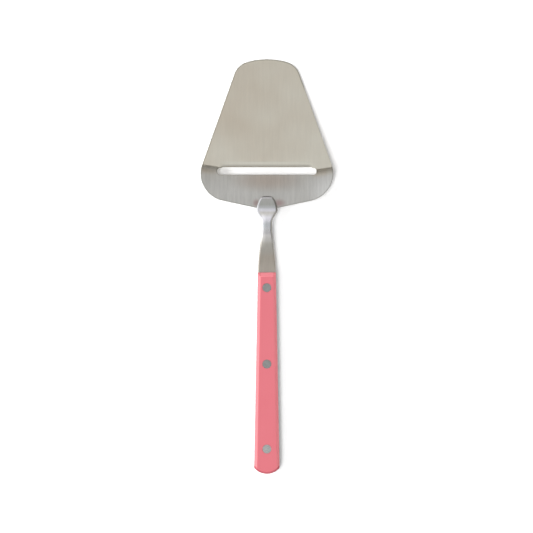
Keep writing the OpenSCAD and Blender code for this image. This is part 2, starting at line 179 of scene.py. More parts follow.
class Plan:
    """Outlines in plan, as arrays of points."""

    @staticmethod
    def rounded(corners: Rows, radii: Sequence[float], step: float = 2.0) -> Array:
        """Rounds each corner of a closed outline to its own radius.

        Args:
            corners: The outline's corners in order.
            radii: One radius for each corner.
            step: Angle between the points of an arc, in degrees.

        Returns:
            The points of the rounded outline.
        """
        points = [np.array(c, float) for c in corners]
        found = []
        for i, here in enumerate(points):
            back = points[i - 1] - here
            ahead = points[(i + 1) % len(points)] - here
            back /= np.linalg.norm(back)
            ahead /= np.linalg.norm(ahead)
            half = math.acos(float(back @ ahead)) / 2
            middle = back + ahead
            centre = here + middle / np.linalg.norm(middle) * radii[i] / math.sin(half)
            start = here + back * radii[i] / math.tan(half) - centre
            turn = (math.pi - 2 * half) * math.copysign(1, ahead[1] * -back[0] + ahead[0] * back[1])
            count = max(2, math.ceil(abs(turn) / math.radians(step)))
            for t in np.linspace(0, turn, count + 1):
                c, s = math.cos(t), math.sin(t)
                found.append(centre + [start[0] * c - start[1] * s, start[0] * s + start[1] * c])
        return np.array(found)

    @staticmethod
    def closed(loop: Array) -> Array:
        """A closed outline with its first point again at its end."""
        return np.vstack([loop, loop[:1]])

    @staticmethod
    def run(line: Array) -> Array:
        """Length along a line from its start to each of its points."""
        return np.concatenate([[0], np.cumsum(np.linalg.norm(np.diff(line, axis=0), axis=1))])

    @staticmethod
    def trimmed(line: Array, reach: float) -> Array:
        """Takes the same length off both ends of an open line.

        Args:
            line: The line's points.
            reach: The length.

        Returns:
            The points of the shorter line.
        """
        run = Plan.run(line)
        inside = (run > reach) & (run < run[-1] - reach)
        ends = [[np.interp(at, run, line[:, k]) for k in (0, 1)] for at in (reach, run[-1] - reach)]
        return np.vstack([ends[0], line[inside], ends[1]])

    @staticmethod
    def softly_joined(lines: Sequence[Array], reach: float) -> Array:
        """Joins lines that meet in corners to one closed outline.

        Args:
            lines: Open lines, each starting where the one before ends.
            reach: Length that a softened corner takes from each line.

        Returns:
            The points of the outline.
        """
        short = [Plan.trimmed(line, reach) for line in lines]
        found = []
        for i, line in enumerate(short):
            corner, after = lines[i][-1], short[(i + 1) % len(short)][0]
            found.append(line)
            for t in (0.25, 0.5, 0.75):
                found.append((1 - t) ** 2 * line[-1:] + 2 * t * (1 - t) * corner + t * t * after)
        return np.vstack(found)

    @staticmethod
    def respaced(loop: Array, spacing: Height) -> Array:
        """Spreads new points along a closed outline.

        Args:
            loop: The outline's points.
            spacing: Wanted distance between points, as a function of the place.

        Returns:
            The new points.
        """
        closed = Plan.closed(loop)
        length = Plan.run(closed)
        fine = np.linspace(0, length[-1], int(length[-1] / TRACE_STEP) + 2)
        u, v = (np.interp(fine, length, closed[:, k]) for k in (0, 1))
        weight = 1.0 / spacing(u, v)
        count = np.concatenate([[0], np.cumsum((weight[1:] + weight[:-1]) / 2 * np.diff(fine))])
        wanted = np.linspace(0, count[-1], int(round(count[-1])) + 1)[:-1]
        return np.column_stack([np.interp(wanted, count, u), np.interp(wanted, count, v)])

    @staticmethod
    def outward(loop: Array) -> Array:
        """Directions out of the material, to the right of the way round an outline."""
        along = unit(np.roll(loop, -1, axis=0) - np.roll(loop, 1, axis=0))
        return np.column_stack([along[:, 1], -along[:, 0]])

    @staticmethod
    def inside(points: Array, loop: Array) -> Array:
        """Whether each point lies inside a closed outline.

        Args:
            points: The points.
            loop: The outline's points.

        Returns:
            True for each point inside.
        """
        x, y = points[:, :1], points[:, 1:]
        a, b = loop, np.roll(loop, -1, axis=0)
        crosses = (a[:, 1] > y) != (b[:, 1] > y)
        height = np.where(b[:, 1] == a[:, 1], 1.0, b[:, 1] - a[:, 1])
        cut = a[:, 0] + (y - a[:, 1]) / height * (b[:, 0] - a[:, 0])
        return (crosses & (x < cut)).sum(axis=1) % 2 == 1

    @staticmethod
    def distance(points: Array, others: Array) -> Array:
        """Distance from each point to the nearest of the others."""
        parts = np.array_split(others, max(1, len(others) // BATCH))
        return np.min([np.linalg.norm(points[:, None] - part, axis=2).min(axis=1) for part in parts], axis=0)


class Meshes:
    """Makes Blender objects from points and faces."""

    @staticmethod
    def make(
        name: str,
        points: Array,
        faces: Sequence[Sequence[int]],
        normals: Array | None = None,
        sharp_angle: float | None = None,
    ) -> Piece:
        """Makes one object.

        Args:
            name: Name of the piece.
            points: Points in millimetres.
            faces: Point numbers of each face, counter-clockwise from outside.
            normals: Shading direction of each point, where it is known.
            sharp_angle: Angle in degrees from which an edge is shaded sharp.

        Returns:
            The new object, linked to the scene.
        """
        mesh = bpy.data.meshes.new(name)
        mesh.from_pydata((points * MM).tolist(), [], [list(f) for f in faces])
        mesh.validate()
        mesh.shade_smooth()
        if normals is not None:
            mesh.normals_split_custom_set_from_vertices(normals.tolist())
        if sharp_angle is not None:
            mesh.set_sharp_from_angle(angle=math.radians(sharp_angle))
        piece = bpy.data.objects.new(name, mesh)
        bpy.context.scene.collection.objects.link(piece)
        return piece

    @staticmethod
    def points(piece: Piece) -> Array:
        """Points of a piece, in millimetres."""
        return np.array([tuple(p.co) for p in piece.data.vertices]) / MM

    @staticmethod
    def mark(piece: Piece, name: str, values: Array) -> None:
        """Stores one number for each point of a piece, for its material to read."""
        kept = piece.data.attributes.new(name, "FLOAT", "POINT")
        kept.data.foreach_set("value", values.astype(np.float32))

    @staticmethod
    def bored(piece: Piece, cutters: Sequence[Piece], sharp_angle: float) -> None:
        """Cuts tools out of a piece and removes them.

        Args:
            piece: The piece to cut.
            cutters: Closed tools.
            sharp_angle: Angle in degrees from which an edge is shaded sharp.
        """
        for cutter in cutters:
            cut = piece.modifiers.new("bore", "BOOLEAN")
            cut.operation = "DIFFERENCE"
            cut.solver = "EXACT"
            cut.object = cutter
        graph = bpy.context.evaluated_depsgraph_get()
        made = bpy.data.meshes.new_from_object(piece.evaluated_get(graph))
        piece.modifiers.clear()
        made.name = piece.name
        piece.data = made
        made.shade_smooth()
        made.set_sharp_from_angle(angle=math.radians(sharp_angle))
        for cutter in cutters:
            bpy.data.objects.remove(cutter)

    @staticmethod
    def lathe(name: str, profile: Rows, centre: Vector, steps: int) -> Piece:
        """Turns a profile about an upright axis.

        Args:
            name: Name of the piece.
            profile: Radius and height of each point, from the axis and back to it.
            centre: Place of the axis, with the height that the profile counts from.
            steps: Number of steps round the axis.

        Returns:
            The new object.
        """
        points, faces, rings = [], [], []
        for radius, height in profile:
            if radius == 0.0:
                rings.append([len(points)] * steps)
                points.append((centre.x, centre.y, centre.z + height))
                continue
            rings.append(list(range(len(points), len(points) + steps)))
            for k in range(steps):
                turn = math.tau * k / steps
                x, y = centre.x + radius * math.cos(turn), centre.y + radius * math.sin(turn)
                points.append((x, y, centre.z + height))
        for low, high in zip(rings, rings[1:]):
            for k in range(steps):
                after = (k + 1) % steps
                corners = [low[k], low[after], high[after], high[k]]
                faces.append([c for i, c in enumerate(corners) if c != corners[i - 1]])
        return Meshes.make(name, np.array(points), faces, sharp_angle=30.0)

    @staticmethod
    def loft(name: str, rings: Sequence[Array], sharp_angle: float) -> Piece:
        """Skins rings of points and closes both ends.

        Args:
            name: Name of the piece.
            rings: Rings of equally many points, counter-clockwise as seen along the way they go.
            sharp_angle: Angle in degrees from which an edge is shaded sharp.

        Returns:
            The new object.
        """
        count = len(rings[0])
        faces = []
        for i in range(len(rings) - 1):
            for k in range(count):
                a, b = i * count + k, i * count + (k + 1) % count
                faces.append((a, a + count, b + count, b))
        faces.append(tuple(range(count)))
        faces.append(tuple((len(rings) - 1) * count + k for k in reversed(range(count))))
        return Meshes.make(name, np.vstack(rings), faces, sharp_angle=sharp_angle)


@dataclass
class Plate:
    """A solid between two height fields over a plan, with rolled rims, as one closed mesh.

    Attributes:
        outer, holes: Outer outline, counter-clockwise, and those of the holes, clockwise.
        top, under: Heights of the upper and of the lower face.
        rows: Lines in plan that the mesh follows, where the faces bend.
        rim, under_drop: Reach of the rolled rims, and height of the lower one's roll.
        grid: Spacing of the loose points between the rows.
        rim_steps: Steps of the mesh over a rim.
        thin_share: Share of the plate's thickness that a rim takes at most.
        clearance: Least distance of the rows from the outlines.
        slope_step: Distance over which the slope of a face is taken.
    """

    outer: Array
    holes: list[Array]
    top: Height
    under: Height
    rows: list[Array]
    rim: float
    under_drop: float
    grid: float
    rim_steps: int = 4
    thin_share: float = 0.35
    clearance: float = 0.12
    slope_step: float = 0.02

    def build(self, name: str, place: Placement) -> Piece:
        """Makes the piece.

        Args:
            name: Name of the piece.
            place: Turns plate points into points of the whole object; it must not change lengths.

        Returns:
            The new object, with the attribute "rim": 1 on its rims, and 0 on its faces.
        """
        loops = [self.outer, *self.holes]
        plan, faces, seats = self._mesh_plan(loops)
        count = len(plan)
        u, v = plan[:, 0], plan[:, 1]
        points = [np.column_stack([u, v, self.top(u, v)]), np.column_stack([u, v, self.under(u, v)])]
        shades = [self._normal(self.top, u, v, 1), self._normal(self.under, u, v, -1)]
        rims = [self._rim_mask(plan, loops)] * 2
        skin = [tuple(f) for f in faces] + [tuple(count + i for i in reversed(f)) for f in faces]
        total = 2 * count
        for loop, seat in zip(loops, seats):
            rings = [count + seat]
            for at, shade in self._rolled(loop):
                points.append(at)
                shades.append(shade)
                rims.append(np.ones(len(loop)))
                rings.append(np.arange(total, total + len(loop)))
                total += len(loop)
            rings.append(seat)
            for low, high in zip(rings, rings[1:]):
                after_low, after_high = np.roll(low, -1), np.roll(high, -1)
                skin.extend(zip(low.tolist(), after_low.tolist(), after_high.tolist(), high.tolist()))
        origin = place(np.zeros((1, 3)))
        piece = Meshes.make(name, place(np.vstack(points)), skin, place(np.vstack(shades)) - origin)
        Meshes.mark(piece, "rim", np.concatenate(rims))
        return piece

    def _reach(self, loop: Array) -> Array:
        """Reach of the rim at each point of an outline, less where the plate is thin."""
        u, v = loop[:, 0], loop[:, 1]
        return np.minimum(self.rim, self.thin_share * (self.top(u, v) - self.under(u, v)))

    def _rim_mask(self, plan: Array, loops: Sequence[Array]) -> Array:
        """Fades the rim's mark over the first stretch of the faces."""
        gap = np.min([Plan.distance(plan, loop) for loop in loops], axis=0)
        return 1.0 - smoothstep(gap, self.rim, 3.0 * self.rim)

    def _normal(self, height: Height, u: Array, v: Array, way: int) -> Array:
        """Shading direction of a face, from its height on both sides of each point.

        Args:
            height: Height of the face.
            u: Places across.
            v: Places along.
            way: 1 where it faces up, and -1 where it faces down.

        Returns:
            One direction for each place.
        """
        step = self.slope_step
        along_u = (height(u + step, v) - height(u - step, v)) / (2 * step)
        along_v = (height(u, v + step) - height(u, v - step)) / (2 * step)
        return unit(way * np.column_stack([-along_u, -along_v, np.ones(len(u))]))

    def _rolled(self, loop: Array) -> list[tuple[Array, Array]]:
        """Rings of the wall and of both rims.

        Args:
            loop: The outline that they follow.

        Returns:
            Points and shading directions of each ring, from the lower face up.
        """
        out = Plan.outward(loop)
        reach = self._reach(loop)
        inner = loop - out * reach[:, None]
        flat_out = np.column_stack([out, np.zeros(len(loop))])
        found = []
        sides = ((self.under, -1, min(self.rim, self.under_drop)), (self.top, 1, self.rim))
        for height, way, drop in sides:
            edge = height(loop[:, 0], loop[:, 1])
            seat = height(inner[:, 0], inner[:, 1])
            face = self._normal(height, inner[:, 0], inner[:, 1], way)
            start = edge - way * np.minimum(drop, reach)
            rings = []
            for t in np.linspace(0, 1, self.rim_steps + 1)[:-1]:
                z = (1 - t) ** 2 * start + 2 * t * (1 - t) * edge + t * t * seat
                at = loop - out * (reach * t * t)[:, None]
                rings.append((np.column_stack([at, z]), unit((1 - t) * flat_out + t * face)))
            found.extend(rings if way == 1 else rings[::-1])
        return found

    def _mesh_plan(self, loops: Sequence[Array]) -> tuple[Array, list[list[int]], list[Array]]:
        """Triangulates the faces' plan inside the rims.

        Args:
            loops: The outer outline and the holes.

        Returns:
            Plan points, triangles, and for each outline the numbers of its points.
        """
        points, edges, spans = [], [], []
        total = 0
        for loop in loops:
            inner = loop - Plan.outward(loop) * self._reach(loop)[:, None]
            ids = np.arange(total, total + len(inner))
            points.append(inner)
            edges.extend(zip(ids.tolist(), np.roll(ids, -1).tolist()))
            spans.append(ids)
            total += len(inner)
        walls = np.vstack(points)
        for row in self.rows:
            keep = self._within(row, loops) & (Plan.distance(row, walls) > self.clearance)
            ids = np.where(keep, total + np.cumsum(keep) - 1, -1)
            points.append(row[keep])
            edges.extend((int(a), int(b)) for a, b in zip(ids, ids[1:]) if a >= 0 and b >= 0)
            total += int(keep.sum())
        taken = np.vstack(points)
        low, high = self.outer.min(axis=0), self.outer.max(axis=0)
        us, vs = (np.arange(low[k] + self.grid / 2, high[k], self.grid) for k in (0, 1))
        loose = np.array([(u, v) for u in us for v in vs])
        loose = loose[self._within(loose, loops)]
        loose = loose[Plan.distance(loose, taken) > self.grid / 2]
        everything = np.vstack([taken, loose])
        made = delaunay_2d_cdt([Vector(p) for p in everything.tolist()], edges, [], 0, SAME_POINT, True)
        plan = np.array([tuple(p) for p in made[0]])
        faces = np.array([tuple(f) for f in made[2]])
        inner = [walls[ids] for ids in spans]
        faces = faces[self._within(plan[faces].mean(axis=1), inner)]
        number = {old: new for new, olds in enumerate(made[3]) for old in olds}
        used, again = np.unique(faces, return_inverse=True)
        faces = again.reshape(faces.shape)
        renumbered = {int(old): new for new, old in enumerate(used)}
        seats = [np.array([renumbered[number[int(i)]] for i in ids]) for ids in spans]
        return plan[used], self._upward(plan[used], faces), seats

    @staticmethod
    def _within(points: Array, loops: Sequence[Array]) -> Array:
        """Whether each point lies inside the outer outline and in none of the holes."""
        in_holes = [Plan.inside(points, hole) for hole in loops[1:]]
        return Plan.inside(points, loops[0]) & ~np.any(in_holes, axis=0)

    @staticmethod
    def _upward(plan: Array, faces: Array) -> list[list[int]]:
        """Turns each triangle so that it faces up."""
        (x1, y1), (x2, y2) = ((plan[faces[:, k]] - plan[faces[:, 0]]).T for k in (1, 2))
        return [face if area > 0 else face[::-1] for face, area in zip(faces.tolist(), x1 * y2 - y1 * x2)]


@dataclass(frozen=True)
class Layout:
    """Where the pieces lie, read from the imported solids, in millimetres.

    Attributes:
        tip_y: Place of the blade's tip along the slicer.
        scales_at, handle_end: Distances of the scales' front and of the handle's end from the tip.
        tang_low, tang_top, handle_top: Heights of the tang's faces and of the handle's top.
    """

    tip_y: float
    scales_at: float
    handle_end: float
    tang_low: float
    tang_top: float
    handle_top: float

    @classmethod
    def read(cls, blade_lead: float) -> "Layout":
        """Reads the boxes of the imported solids.

        Args:
            blade_lead: How far the top of the blade's tilted tip lies in front of its foot.

        Returns:
            The layout.
        """
        _, blade_high = packed_box("blade")
        scale_low, scale_high = packed_box("upper_scale")
        _, lower_high = packed_box("lower_scale")
        tip_y = blade_high.y - blade_lead
        return cls(
            tip_y=tip_y,
            scales_at=tip_y - scale_high.y,
            handle_end=tip_y - scale_low.y,
            tang_low=lower_high.z,
            tang_top=scale_low.z,
            handle_top=scale_high.z,
        )

    def upright(self, points: Array, height: float = 0.0) -> Array:
        """Places points that are drawn across, along and up."""
        return np.column_stack([-points[:, 0], self.tip_y - points[:, 1], height + points[:, 2]])

    def turned_over(self, points: Array, height: float) -> Array:
        """Places points of a piece that faces down."""
        return np.column_stack([points[:, 0], self.tip_y - points[:, 1], height - points[:, 2]])


class Nodes:
    """Short ways to make shader nodes in one tree."""

    def __init__(self, tree: Tree) -> None:
        """Keeps the tree."""
        self.tree = tree

    def add(self, kind: str, inputs: dict | None = None, **settings: object) -> bpy.types.Node:
        """Adds a node.

        Args:
            kind: Blender's name of the node's type.
            inputs: Sockets to link and constants to set, by the name or number of the input.
            settings: Properties of the node.

        Returns:
            The node.
        """
        node = self.tree.nodes.new(kind)
        for key, value in settings.items():
            setattr(node, key, value)
        for key, value in (inputs or {}).items():
            if isinstance(value, Socket):
                self.join(value, node.inputs[key])
            else:
                node.inputs[key].default_value = value
        return node

    def join(self, socket: Socket, target: Socket) -> None:
        """Links an output to an input."""
        self.tree.links.new(socket, target)

    def math(self, operation: str, first: Number, *others: Number) -> Socket:
        """Joins sockets or numbers by a sum, a product or the like.

        Args:
            operation: Blender's name of the operation.
            first: The first of them.
            others: What is joined to it, one after another.

        Returns:
            The result.
        """
        for other in others:
            first = self.add("ShaderNodeMath", {0: first, 1: other}, operation=operation).outputs[0]
        return first

    def multiplied(self, a: Socket, b: Socket) -> Socket:
        """Multiplies two colours or directions part by part, or all parts by one number."""
        return self.add("ShaderNodeVectorMath", {0: a, 1: b}, operation="MULTIPLY").outputs[0]

    def blend(self, share: Socket, a: Tone, b: Tone) -> Socket:
        """Goes from colour a to colour b as the share goes from 0 to 1."""
        low, high = (tone if isinstance(tone, Socket) else (*tone, 1.0) for tone in (a, b))
        return self.add("ShaderNodeMix", {0: share, 6: low, 7: high}, data_type="RGBA").outputs[2]

    def ramp(self, share: Socket, stops: Sequence[tuple[float, Colour]]) -> Socket:
        """Goes through colours as the share goes from 0 to 1.

        Args:
            share: The number that picks the colour.
            stops: Shares and their colours, by rising share.

        Returns:
            The colour.
        """
        node = self.add("ShaderNodeValToRGB", {"Fac": share})
        band = node.color_ramp
        band.interpolation = "EASE"
        band.elements.remove(band.elements[1])
        for i, (at, colour) in enumerate(stops):
            stop = band.elements[0] if i == 0 else band.elements.new(at)
            stop.position = at
            stop.color = (*colour, 1.0)
        return node.outputs["Color"]

    def span(self, value: Socket, low: float, high: float, to_low: float = 0, to_high: float = 1) -> Socket:
        """Maps a stretch of values to another, and holds the ends."""
        inputs = {"Value": value, "From Min": low, "From Max": high, "To Min": to_low, "To Max": to_high}
        return self.add("ShaderNodeMapRange", inputs, clamp=True).outputs[0]

    def noise_span(self, noise: Socket, to_low: float = 0, to_high: float = 1) -> Socket:
        """Maps the stretch that holds most of a noise to another."""
        return self.span(noise, *NOISE_STRETCH, to_low, to_high)

    def place(self) -> Socket:
        """Place on the piece, in metres."""
        return self.add("ShaderNodeTexCoord").outputs["Object"]

    def axis(self, name: str) -> Socket:
        """One coordinate of the place on the piece: X across, Y along."""
        return self.add("ShaderNodeSeparateXYZ", {0: self.place()}).outputs[name]

    def mark(self, name: str) -> Socket:
        """The numbers that the mesh keeps under a name."""
        return self.add("ShaderNodeAttribute", attribute_name=name).outputs["Fac"]


class Effects:
    """Shader node groups that the finishes share, each built once."""

    def __init__(self) -> None:
        """Builds the groups."""
        self.grain = self._grain()
        self.mottle = self._mottle()
        self.rim = self._rim()
        self.patch = self._patch()

    @staticmethod
    def _group(
        name: str, inputs: dict[str, float | None], outputs: Sequence[str]
    ) -> tuple[Nodes, bpy.types.NodeOutputs, bpy.types.NodeInputs]:
        """Makes an empty group.

        Args:
            name: Name of the group.
            inputs: Default of each input by its name, or None where it is a place or a direction.
            outputs: Names of the outputs, which are numbers.

        Returns:
            The maker of its nodes, the sockets that bring its inputs and those that take its outputs.
        """
        tree = bpy.data.node_groups.new(name, "ShaderNodeTree")
        for label, default in inputs.items():
            kind = "NodeSocketVector" if default is None else "NodeSocketFloat"
            socket = tree.interface.new_socket(label, in_out="INPUT", socket_type=kind)
            if default is not None:
                socket.default_value = default
        for label in outputs:
            tree.interface.new_socket(label, in_out="OUTPUT", socket_type="NodeSocketFloat")
        given, out = (tree.nodes.new(kind) for kind in ("NodeGroupInput", "NodeGroupOutput"))
        return Nodes(tree), given.outputs, out.inputs

    def _grain(self) -> Tree:
        """Lines left by brushing along one direction.

        Returns:
            The group. "Fine" and "Broad" are strokes of two widths.
        """
        inputs = {"Across": 4000.0, "Along": 60.0, "Turn": 0.0}
        make, given, out = self._group("brushed_grain", inputs, ["Fine", "Broad"])
        spin = make.add("ShaderNodeCombineXYZ", {2: given["Turn"]}).outputs[0]
        turn = {"Vector": make.place(), "Rotation": spin}
        turned = make.add("ShaderNodeVectorRotate", turn, rotation_type="EULER_XYZ").outputs[0]
        for label, coarse in (("Fine", 1.0), ("Broad", 0.16)):
            across, along = (make.math("MULTIPLY", given[way], coarse) for way in ("Across", "Along"))
            scale = make.add("ShaderNodeCombineXYZ", {0: across, 1: along, 2: across}).outputs[0]
            noise = {"Vector": make.multiplied(turned, scale), "Scale": 1.0, "Detail": 2.0}
            make.join(make.add("ShaderNodeTexNoise", noise).outputs[0], out[label])
        return make.tree

    def _mottle(self) -> Tree:
        """Soft cloudy variation.

        Returns:
            The group. "Mask" goes from 0 to 1 over patches of a given size.
        """
        make, given, out = self._group("soft_mottle", {"Scale": 40.0, "Detail": 2.0}, ["Mask"])
        noise = {"Vector": make.place(), "Scale": given["Scale"], "Detail": given["Detail"]}
        make.join(make.noise_span(make.add("ShaderNodeTexNoise", noise).outputs[0]), out["Mask"])
        return make.tree

    def _rim(self) -> Tree:
        """A mask along the rims, for the handle's worn rims and the blade's painted edge shade.

        Returns:
            The group. "Mask" is 1 along the rims, a little broken up.
        """
        make, given, out = self._group("rim_wear_and_edge_shade", {"Scale": 900.0, "Breakup": 0.25}, ["Mask"])
        noise = make.add("ShaderNodeTexNoise", {"Vector": make.place(), "Scale": given["Scale"]})
        loss = make.math("MULTIPLY", noise.outputs[0], given["Breakup"])
        kept = make.math("SUBTRACT", 1.0, loss)
        make.join(make.math("MULTIPLY", make.mark("rim"), kept), out["Mask"])
        return make.tree

    def _patch(self) -> Tree:
        """A soft oval patch at a place.

        Returns:
            The group. "Mask" falls from 1 at the patch's middle to 0 at its edge.
        """
        inputs = {"Centre": None, "Stretch": None, "Inner": 0.3}
        make, given, out = self._group("soft_patch", inputs, ["Mask"])
        ends = {0: make.place(), 1: given["Centre"]}
        moved = make.add("ShaderNodeVectorMath", ends, operation="SUBTRACT").outputs[0]
        scaled = make.multiplied(moved, given["Stretch"])
        far = make.add("ShaderNodeVectorMath", {0: scaled}, operation="LENGTH").outputs["Value"]
        fade = {"Value": far, "From Min": 1.0, "From Max": given["Inner"], "To Min": 0.0, "To Max": 1.0}
        mask = make.add("ShaderNodeMapRange", fade, interpolation_type="SMOOTHSTEP", clamp=True)
        make.join(mask.outputs[0], out["Mask"])
        return make.tree


class Surface(Nodes):
    """One material's nodes, with its Principled shader and the effects placed in it."""

    def __init__(self, name: str) -> None:
        """Makes the material.

        Args:
            name: Name of the material.
        """
        self.material = bpy.data.materials.new(name)
        self.material.use_nodes = True
        super().__init__(self.material.node_tree)
        self.shader = self.tree.nodes["Principled BSDF"]

    def effect(self, group: Tree, **values: object) -> bpy.types.NodeOutputs:
        """Places a shared effect with its own values, and gives its outputs."""
        return self.add("ShaderNodeGroup", values, node_tree=group).outputs

    def set(self, **values: float) -> None:
        """Sets constants on the shader."""
        for key, value in values.items():
            self.shader.inputs[key].default_value = value

    def feed(self, name: str, socket: Socket) -> None:
        """Feeds an input of the shader."""
        self.join(socket, self.shader.inputs[name])

    def show(self, shader: bpy.types.Node) -> Material:
        """Shows another shader in place of the Principled one.

        Args:
            shader: The shader's node.

        Returns:
            The material.
        """
        self.tree.nodes.remove(self.shader)
        self.join(shader.outputs[0], self.tree.nodes["Material Output"].inputs["Surface"])
        return self.material

    def over(self, colour: Socket, **tones: Colour) -> Socket:
        """Lays tones over a colour where the mesh marks them.

        Args:
            colour: The colour.
            tones: The tones, by the names of their marks, from the lowest up.

        Returns:
            The colour with the tones on it.
        """
        for label, tone in tones.items():
            colour = self.blend(self.mark(label), colour, tone)
        return colour

    def relief(self, height: Socket, distance: float, strength: float) -> None:
        """Lets a height stand out of the surface by a distance in millimetres."""
        inputs = {"Height": height, "Distance": distance * MM, "Strength": strength}
        self.feed("Normal", self.add("ShaderNodeBump", inputs).outputs[0])


@dataclass(frozen=True)
class Patch:
    """A soft oval patch of another colour on the blade.

    Attributes:
        middle: Its middle: across the blade to the left, behind the cutting edge, and up.
        stretch: One over its half sizes across and along, in metres.
        inner: Share of its half size up to which it is full.
    """

    middle: Point
    stretch: Pair
    inner: float = 0.1

    def mask(self, surface: Surface, effects: Effects, at: Spot) -> Socket:
        """Its mask, with its middle laid down on the piece."""
        values = {"Centre": at(*self.middle), "Stretch": (*self.stretch, 0.0), "Inner": self.inner}
        return surface.effect(effects.patch, **values)["Mask"]


@dataclass(frozen=True)
class BladeFinish:
    """Satin sheet steel: a warm paddle, a greyer sole brushed along the tool, and painted shade and sheen.

    Attributes:
        paddle, paddle_cool: Main colour of the paddle, and that of its cooler clouds.
        sole, sole_pale, sole_painted_shade: Those of the sole, of its paler clouds and painted sheen, and of
            its painted shade.
        rim, sole_rim_shade: Colours of the painted shade along the paddle's and the sole's rims.
        tint: Colour of the heat tints beside the tab.
        ground, hone: Colours of the ground bevel and of the honed line along the cutting edge.
        warmth, smear: Colours of the painted shade in the right and behind the left end of the crease.
        cool_patch: The cooler patch at the paddle's near left.
        painted_shade_patch, painted_sheen_patch: The sole's painted shade behind the step, and its painted
            sheen on the right corner.
        tint_patches: The heat tints, left and right of the tab.
        sides, side_cool: Places across, and the shares of the cool colour that they give the paddle.
        fore, fore_cool: Lengths in front of the painted shade patch over which that share changes, and its
            gain.
        cloudy, sole_cloudy: What the clouds add to the shares of the cool and of the pale colour.
        rear, rear_sheen: Length behind the painted shade patch over which the sole grows paler, a painted
            reflection, and the gain.
        strokes: How much of the brushing shows on the paddle and on the sole.
        paddle_roughness, sole_roughness: Roughness of the paddle and of the sole.
    """

    paddle: Colour = (0.655, 0.590, 0.490)
    paddle_cool: Colour = (0.74, 0.71, 0.62)
    sole: Colour = (0.53, 0.52, 0.49)
    sole_pale: Colour = (0.78, 0.78, 0.765)
    sole_painted_shade: Colour = (0.50, 0.445, 0.395)
    rim: Colour = (0.34, 0.32, 0.25)
    sole_rim_shade: Colour = (0.42, 0.415, 0.385)
    tint: Colour = (0.43, 0.325, 0.315)
    ground: Colour = (0.68, 0.66, 0.58)
    hone: Colour = (0.44, 0.42, 0.37)
    warmth: Colour = (0.61, 0.535, 0.43)
    smear: Colour = (0.45, 0.39, 0.31)
    cool_patch: Patch = Patch((27.0, -7.0, 0.0), (50.0, 40.0))
    painted_shade_patch: Patch = Patch((0.0, 7.7, 1.8), (38.0, 110.0))
    painted_sheen_patch: Patch = Patch((-38.0, 15.5, 1.8), (43.0, 52.0), 0.0)
    tint_patches: tuple[Patch, ...] = (
        Patch((6.2, 21.5, 1.8), (330.0, 300.0)),
        Patch((-7.2, 21.5, 1.8), (190.0, 300.0)),
    )
    sides: Pair = (-30.0, 35.0)
    side_cool: Pair = (0.08, 0.68)
    fore: Pair = (10.0, 58.0)
    fore_cool: float = -0.14
    cloudy: float = 0.45
    sole_cloudy: float = 0.1
    rear: float = 8.0
    rear_sheen: float = 0.21
    strokes: Pair = (0.35, 1.0)
    paddle_roughness: float = 0.42
    sole_roughness: float = 0.36

    def build(self, effects: Effects, at: Spot) -> Material:
        """Makes the material.

        Args:
            effects: The shared node groups.
            at: Turns a place on the blade, as a patch's middle is given, into metres.

        Returns:
            The material.
        """
        surface = Surface("satin_sheet_steel")
        clouds = surface.effect(effects.mottle, Scale=55.0, Detail=1.5)["Mask"]
        grain = surface.effect(effects.grain, Across=5200.0, Along=70.0)
        sole = surface.mark("sole")
        middle = at(*self.painted_shade_patch.middle).y
        side = surface.span(surface.axis("X"), *(place * MM for place in self.sides), *self.side_cool)
        ends = (middle + ahead * MM for ahead in self.fore)
        fore = surface.span(surface.axis("Y"), *ends, 0.0, self.fore_cool)
        uneven = surface.math("ADD", clouds, self.cool_patch.mask(surface, effects, at))
        cool = surface.math("ADD", surface.math("MULTIPLY", uneven, self.cloudy), side, fore)
        paddle = surface.blend(cool, self.paddle, self.paddle_cool)
        paddle = surface.over(paddle, ground=self.ground, hone=self.hone)
        # Painted shade on the sole behind the step, paler towards the rear, and a painted sheen at its right
        # corner.
        rear = surface.span(surface.axis("Y"), middle, middle - self.rear * MM, 0.0, self.rear_sheen)
        even = surface.math("ADD", surface.math("MULTIPLY", clouds, self.sole_cloudy), rear)
        pale = surface.math("MAXIMUM", self.painted_sheen_patch.mask(surface, effects, at), even)
        flat = surface.blend(pale, self.sole, self.sole_pale)
        flat = surface.blend(self.painted_shade_patch.mask(surface, effects, at), flat, self.sole_painted_shade)
        colour = surface.blend(sole, paddle, flat)
        # Painted shade in both ends of the crease.
        colour = surface.over(colour, warmth=self.warmth, smear=self.smear)
        streaks = surface.noise_span(grain["Broad"], 0.94, 1.05)
        strokes = surface.math("MULTIPLY", streaks, surface.noise_span(grain["Fine"], 0.96, 1.03))
        weight = surface.span(sole, 0.0, 1.0, *self.strokes)
        shade = surface.math("MULTIPLY", surface.math("SUBTRACT", strokes, 1.0), weight)
        colour = surface.multiplied(colour, surface.math("ADD", shade, 1.0))
        broken = surface.noise_span(grain["Broad"], 0.7, 1.0)
        for patch in self.tint_patches:
            share = surface.math("MULTIPLY", patch.mask(surface, effects, at), broken)
            colour = surface.blend(share, colour, self.tint)
        # Painted dark shade along the rims, lighter on the sole.
        rim = surface.effect(effects.rim, Scale=1200.0, Breakup=0.3)["Mask"]
        rims = surface.blend(sole, self.rim, self.sole_rim_shade)
        surface.feed("Base Color", surface.blend(rim, colour, rims))
        surface.set(Metallic=1.0)
        base = surface.span(sole, 0.0, 1.0, self.paddle_roughness, self.sole_roughness)
        uneven = surface.span(clouds, 0.0, 1.0, -0.03, 0.03)
        surface.feed("Roughness", surface.math("ADD", base, uneven))
        surface.relief(grain["Fine"], 0.012, 0.5)
        return surface.material


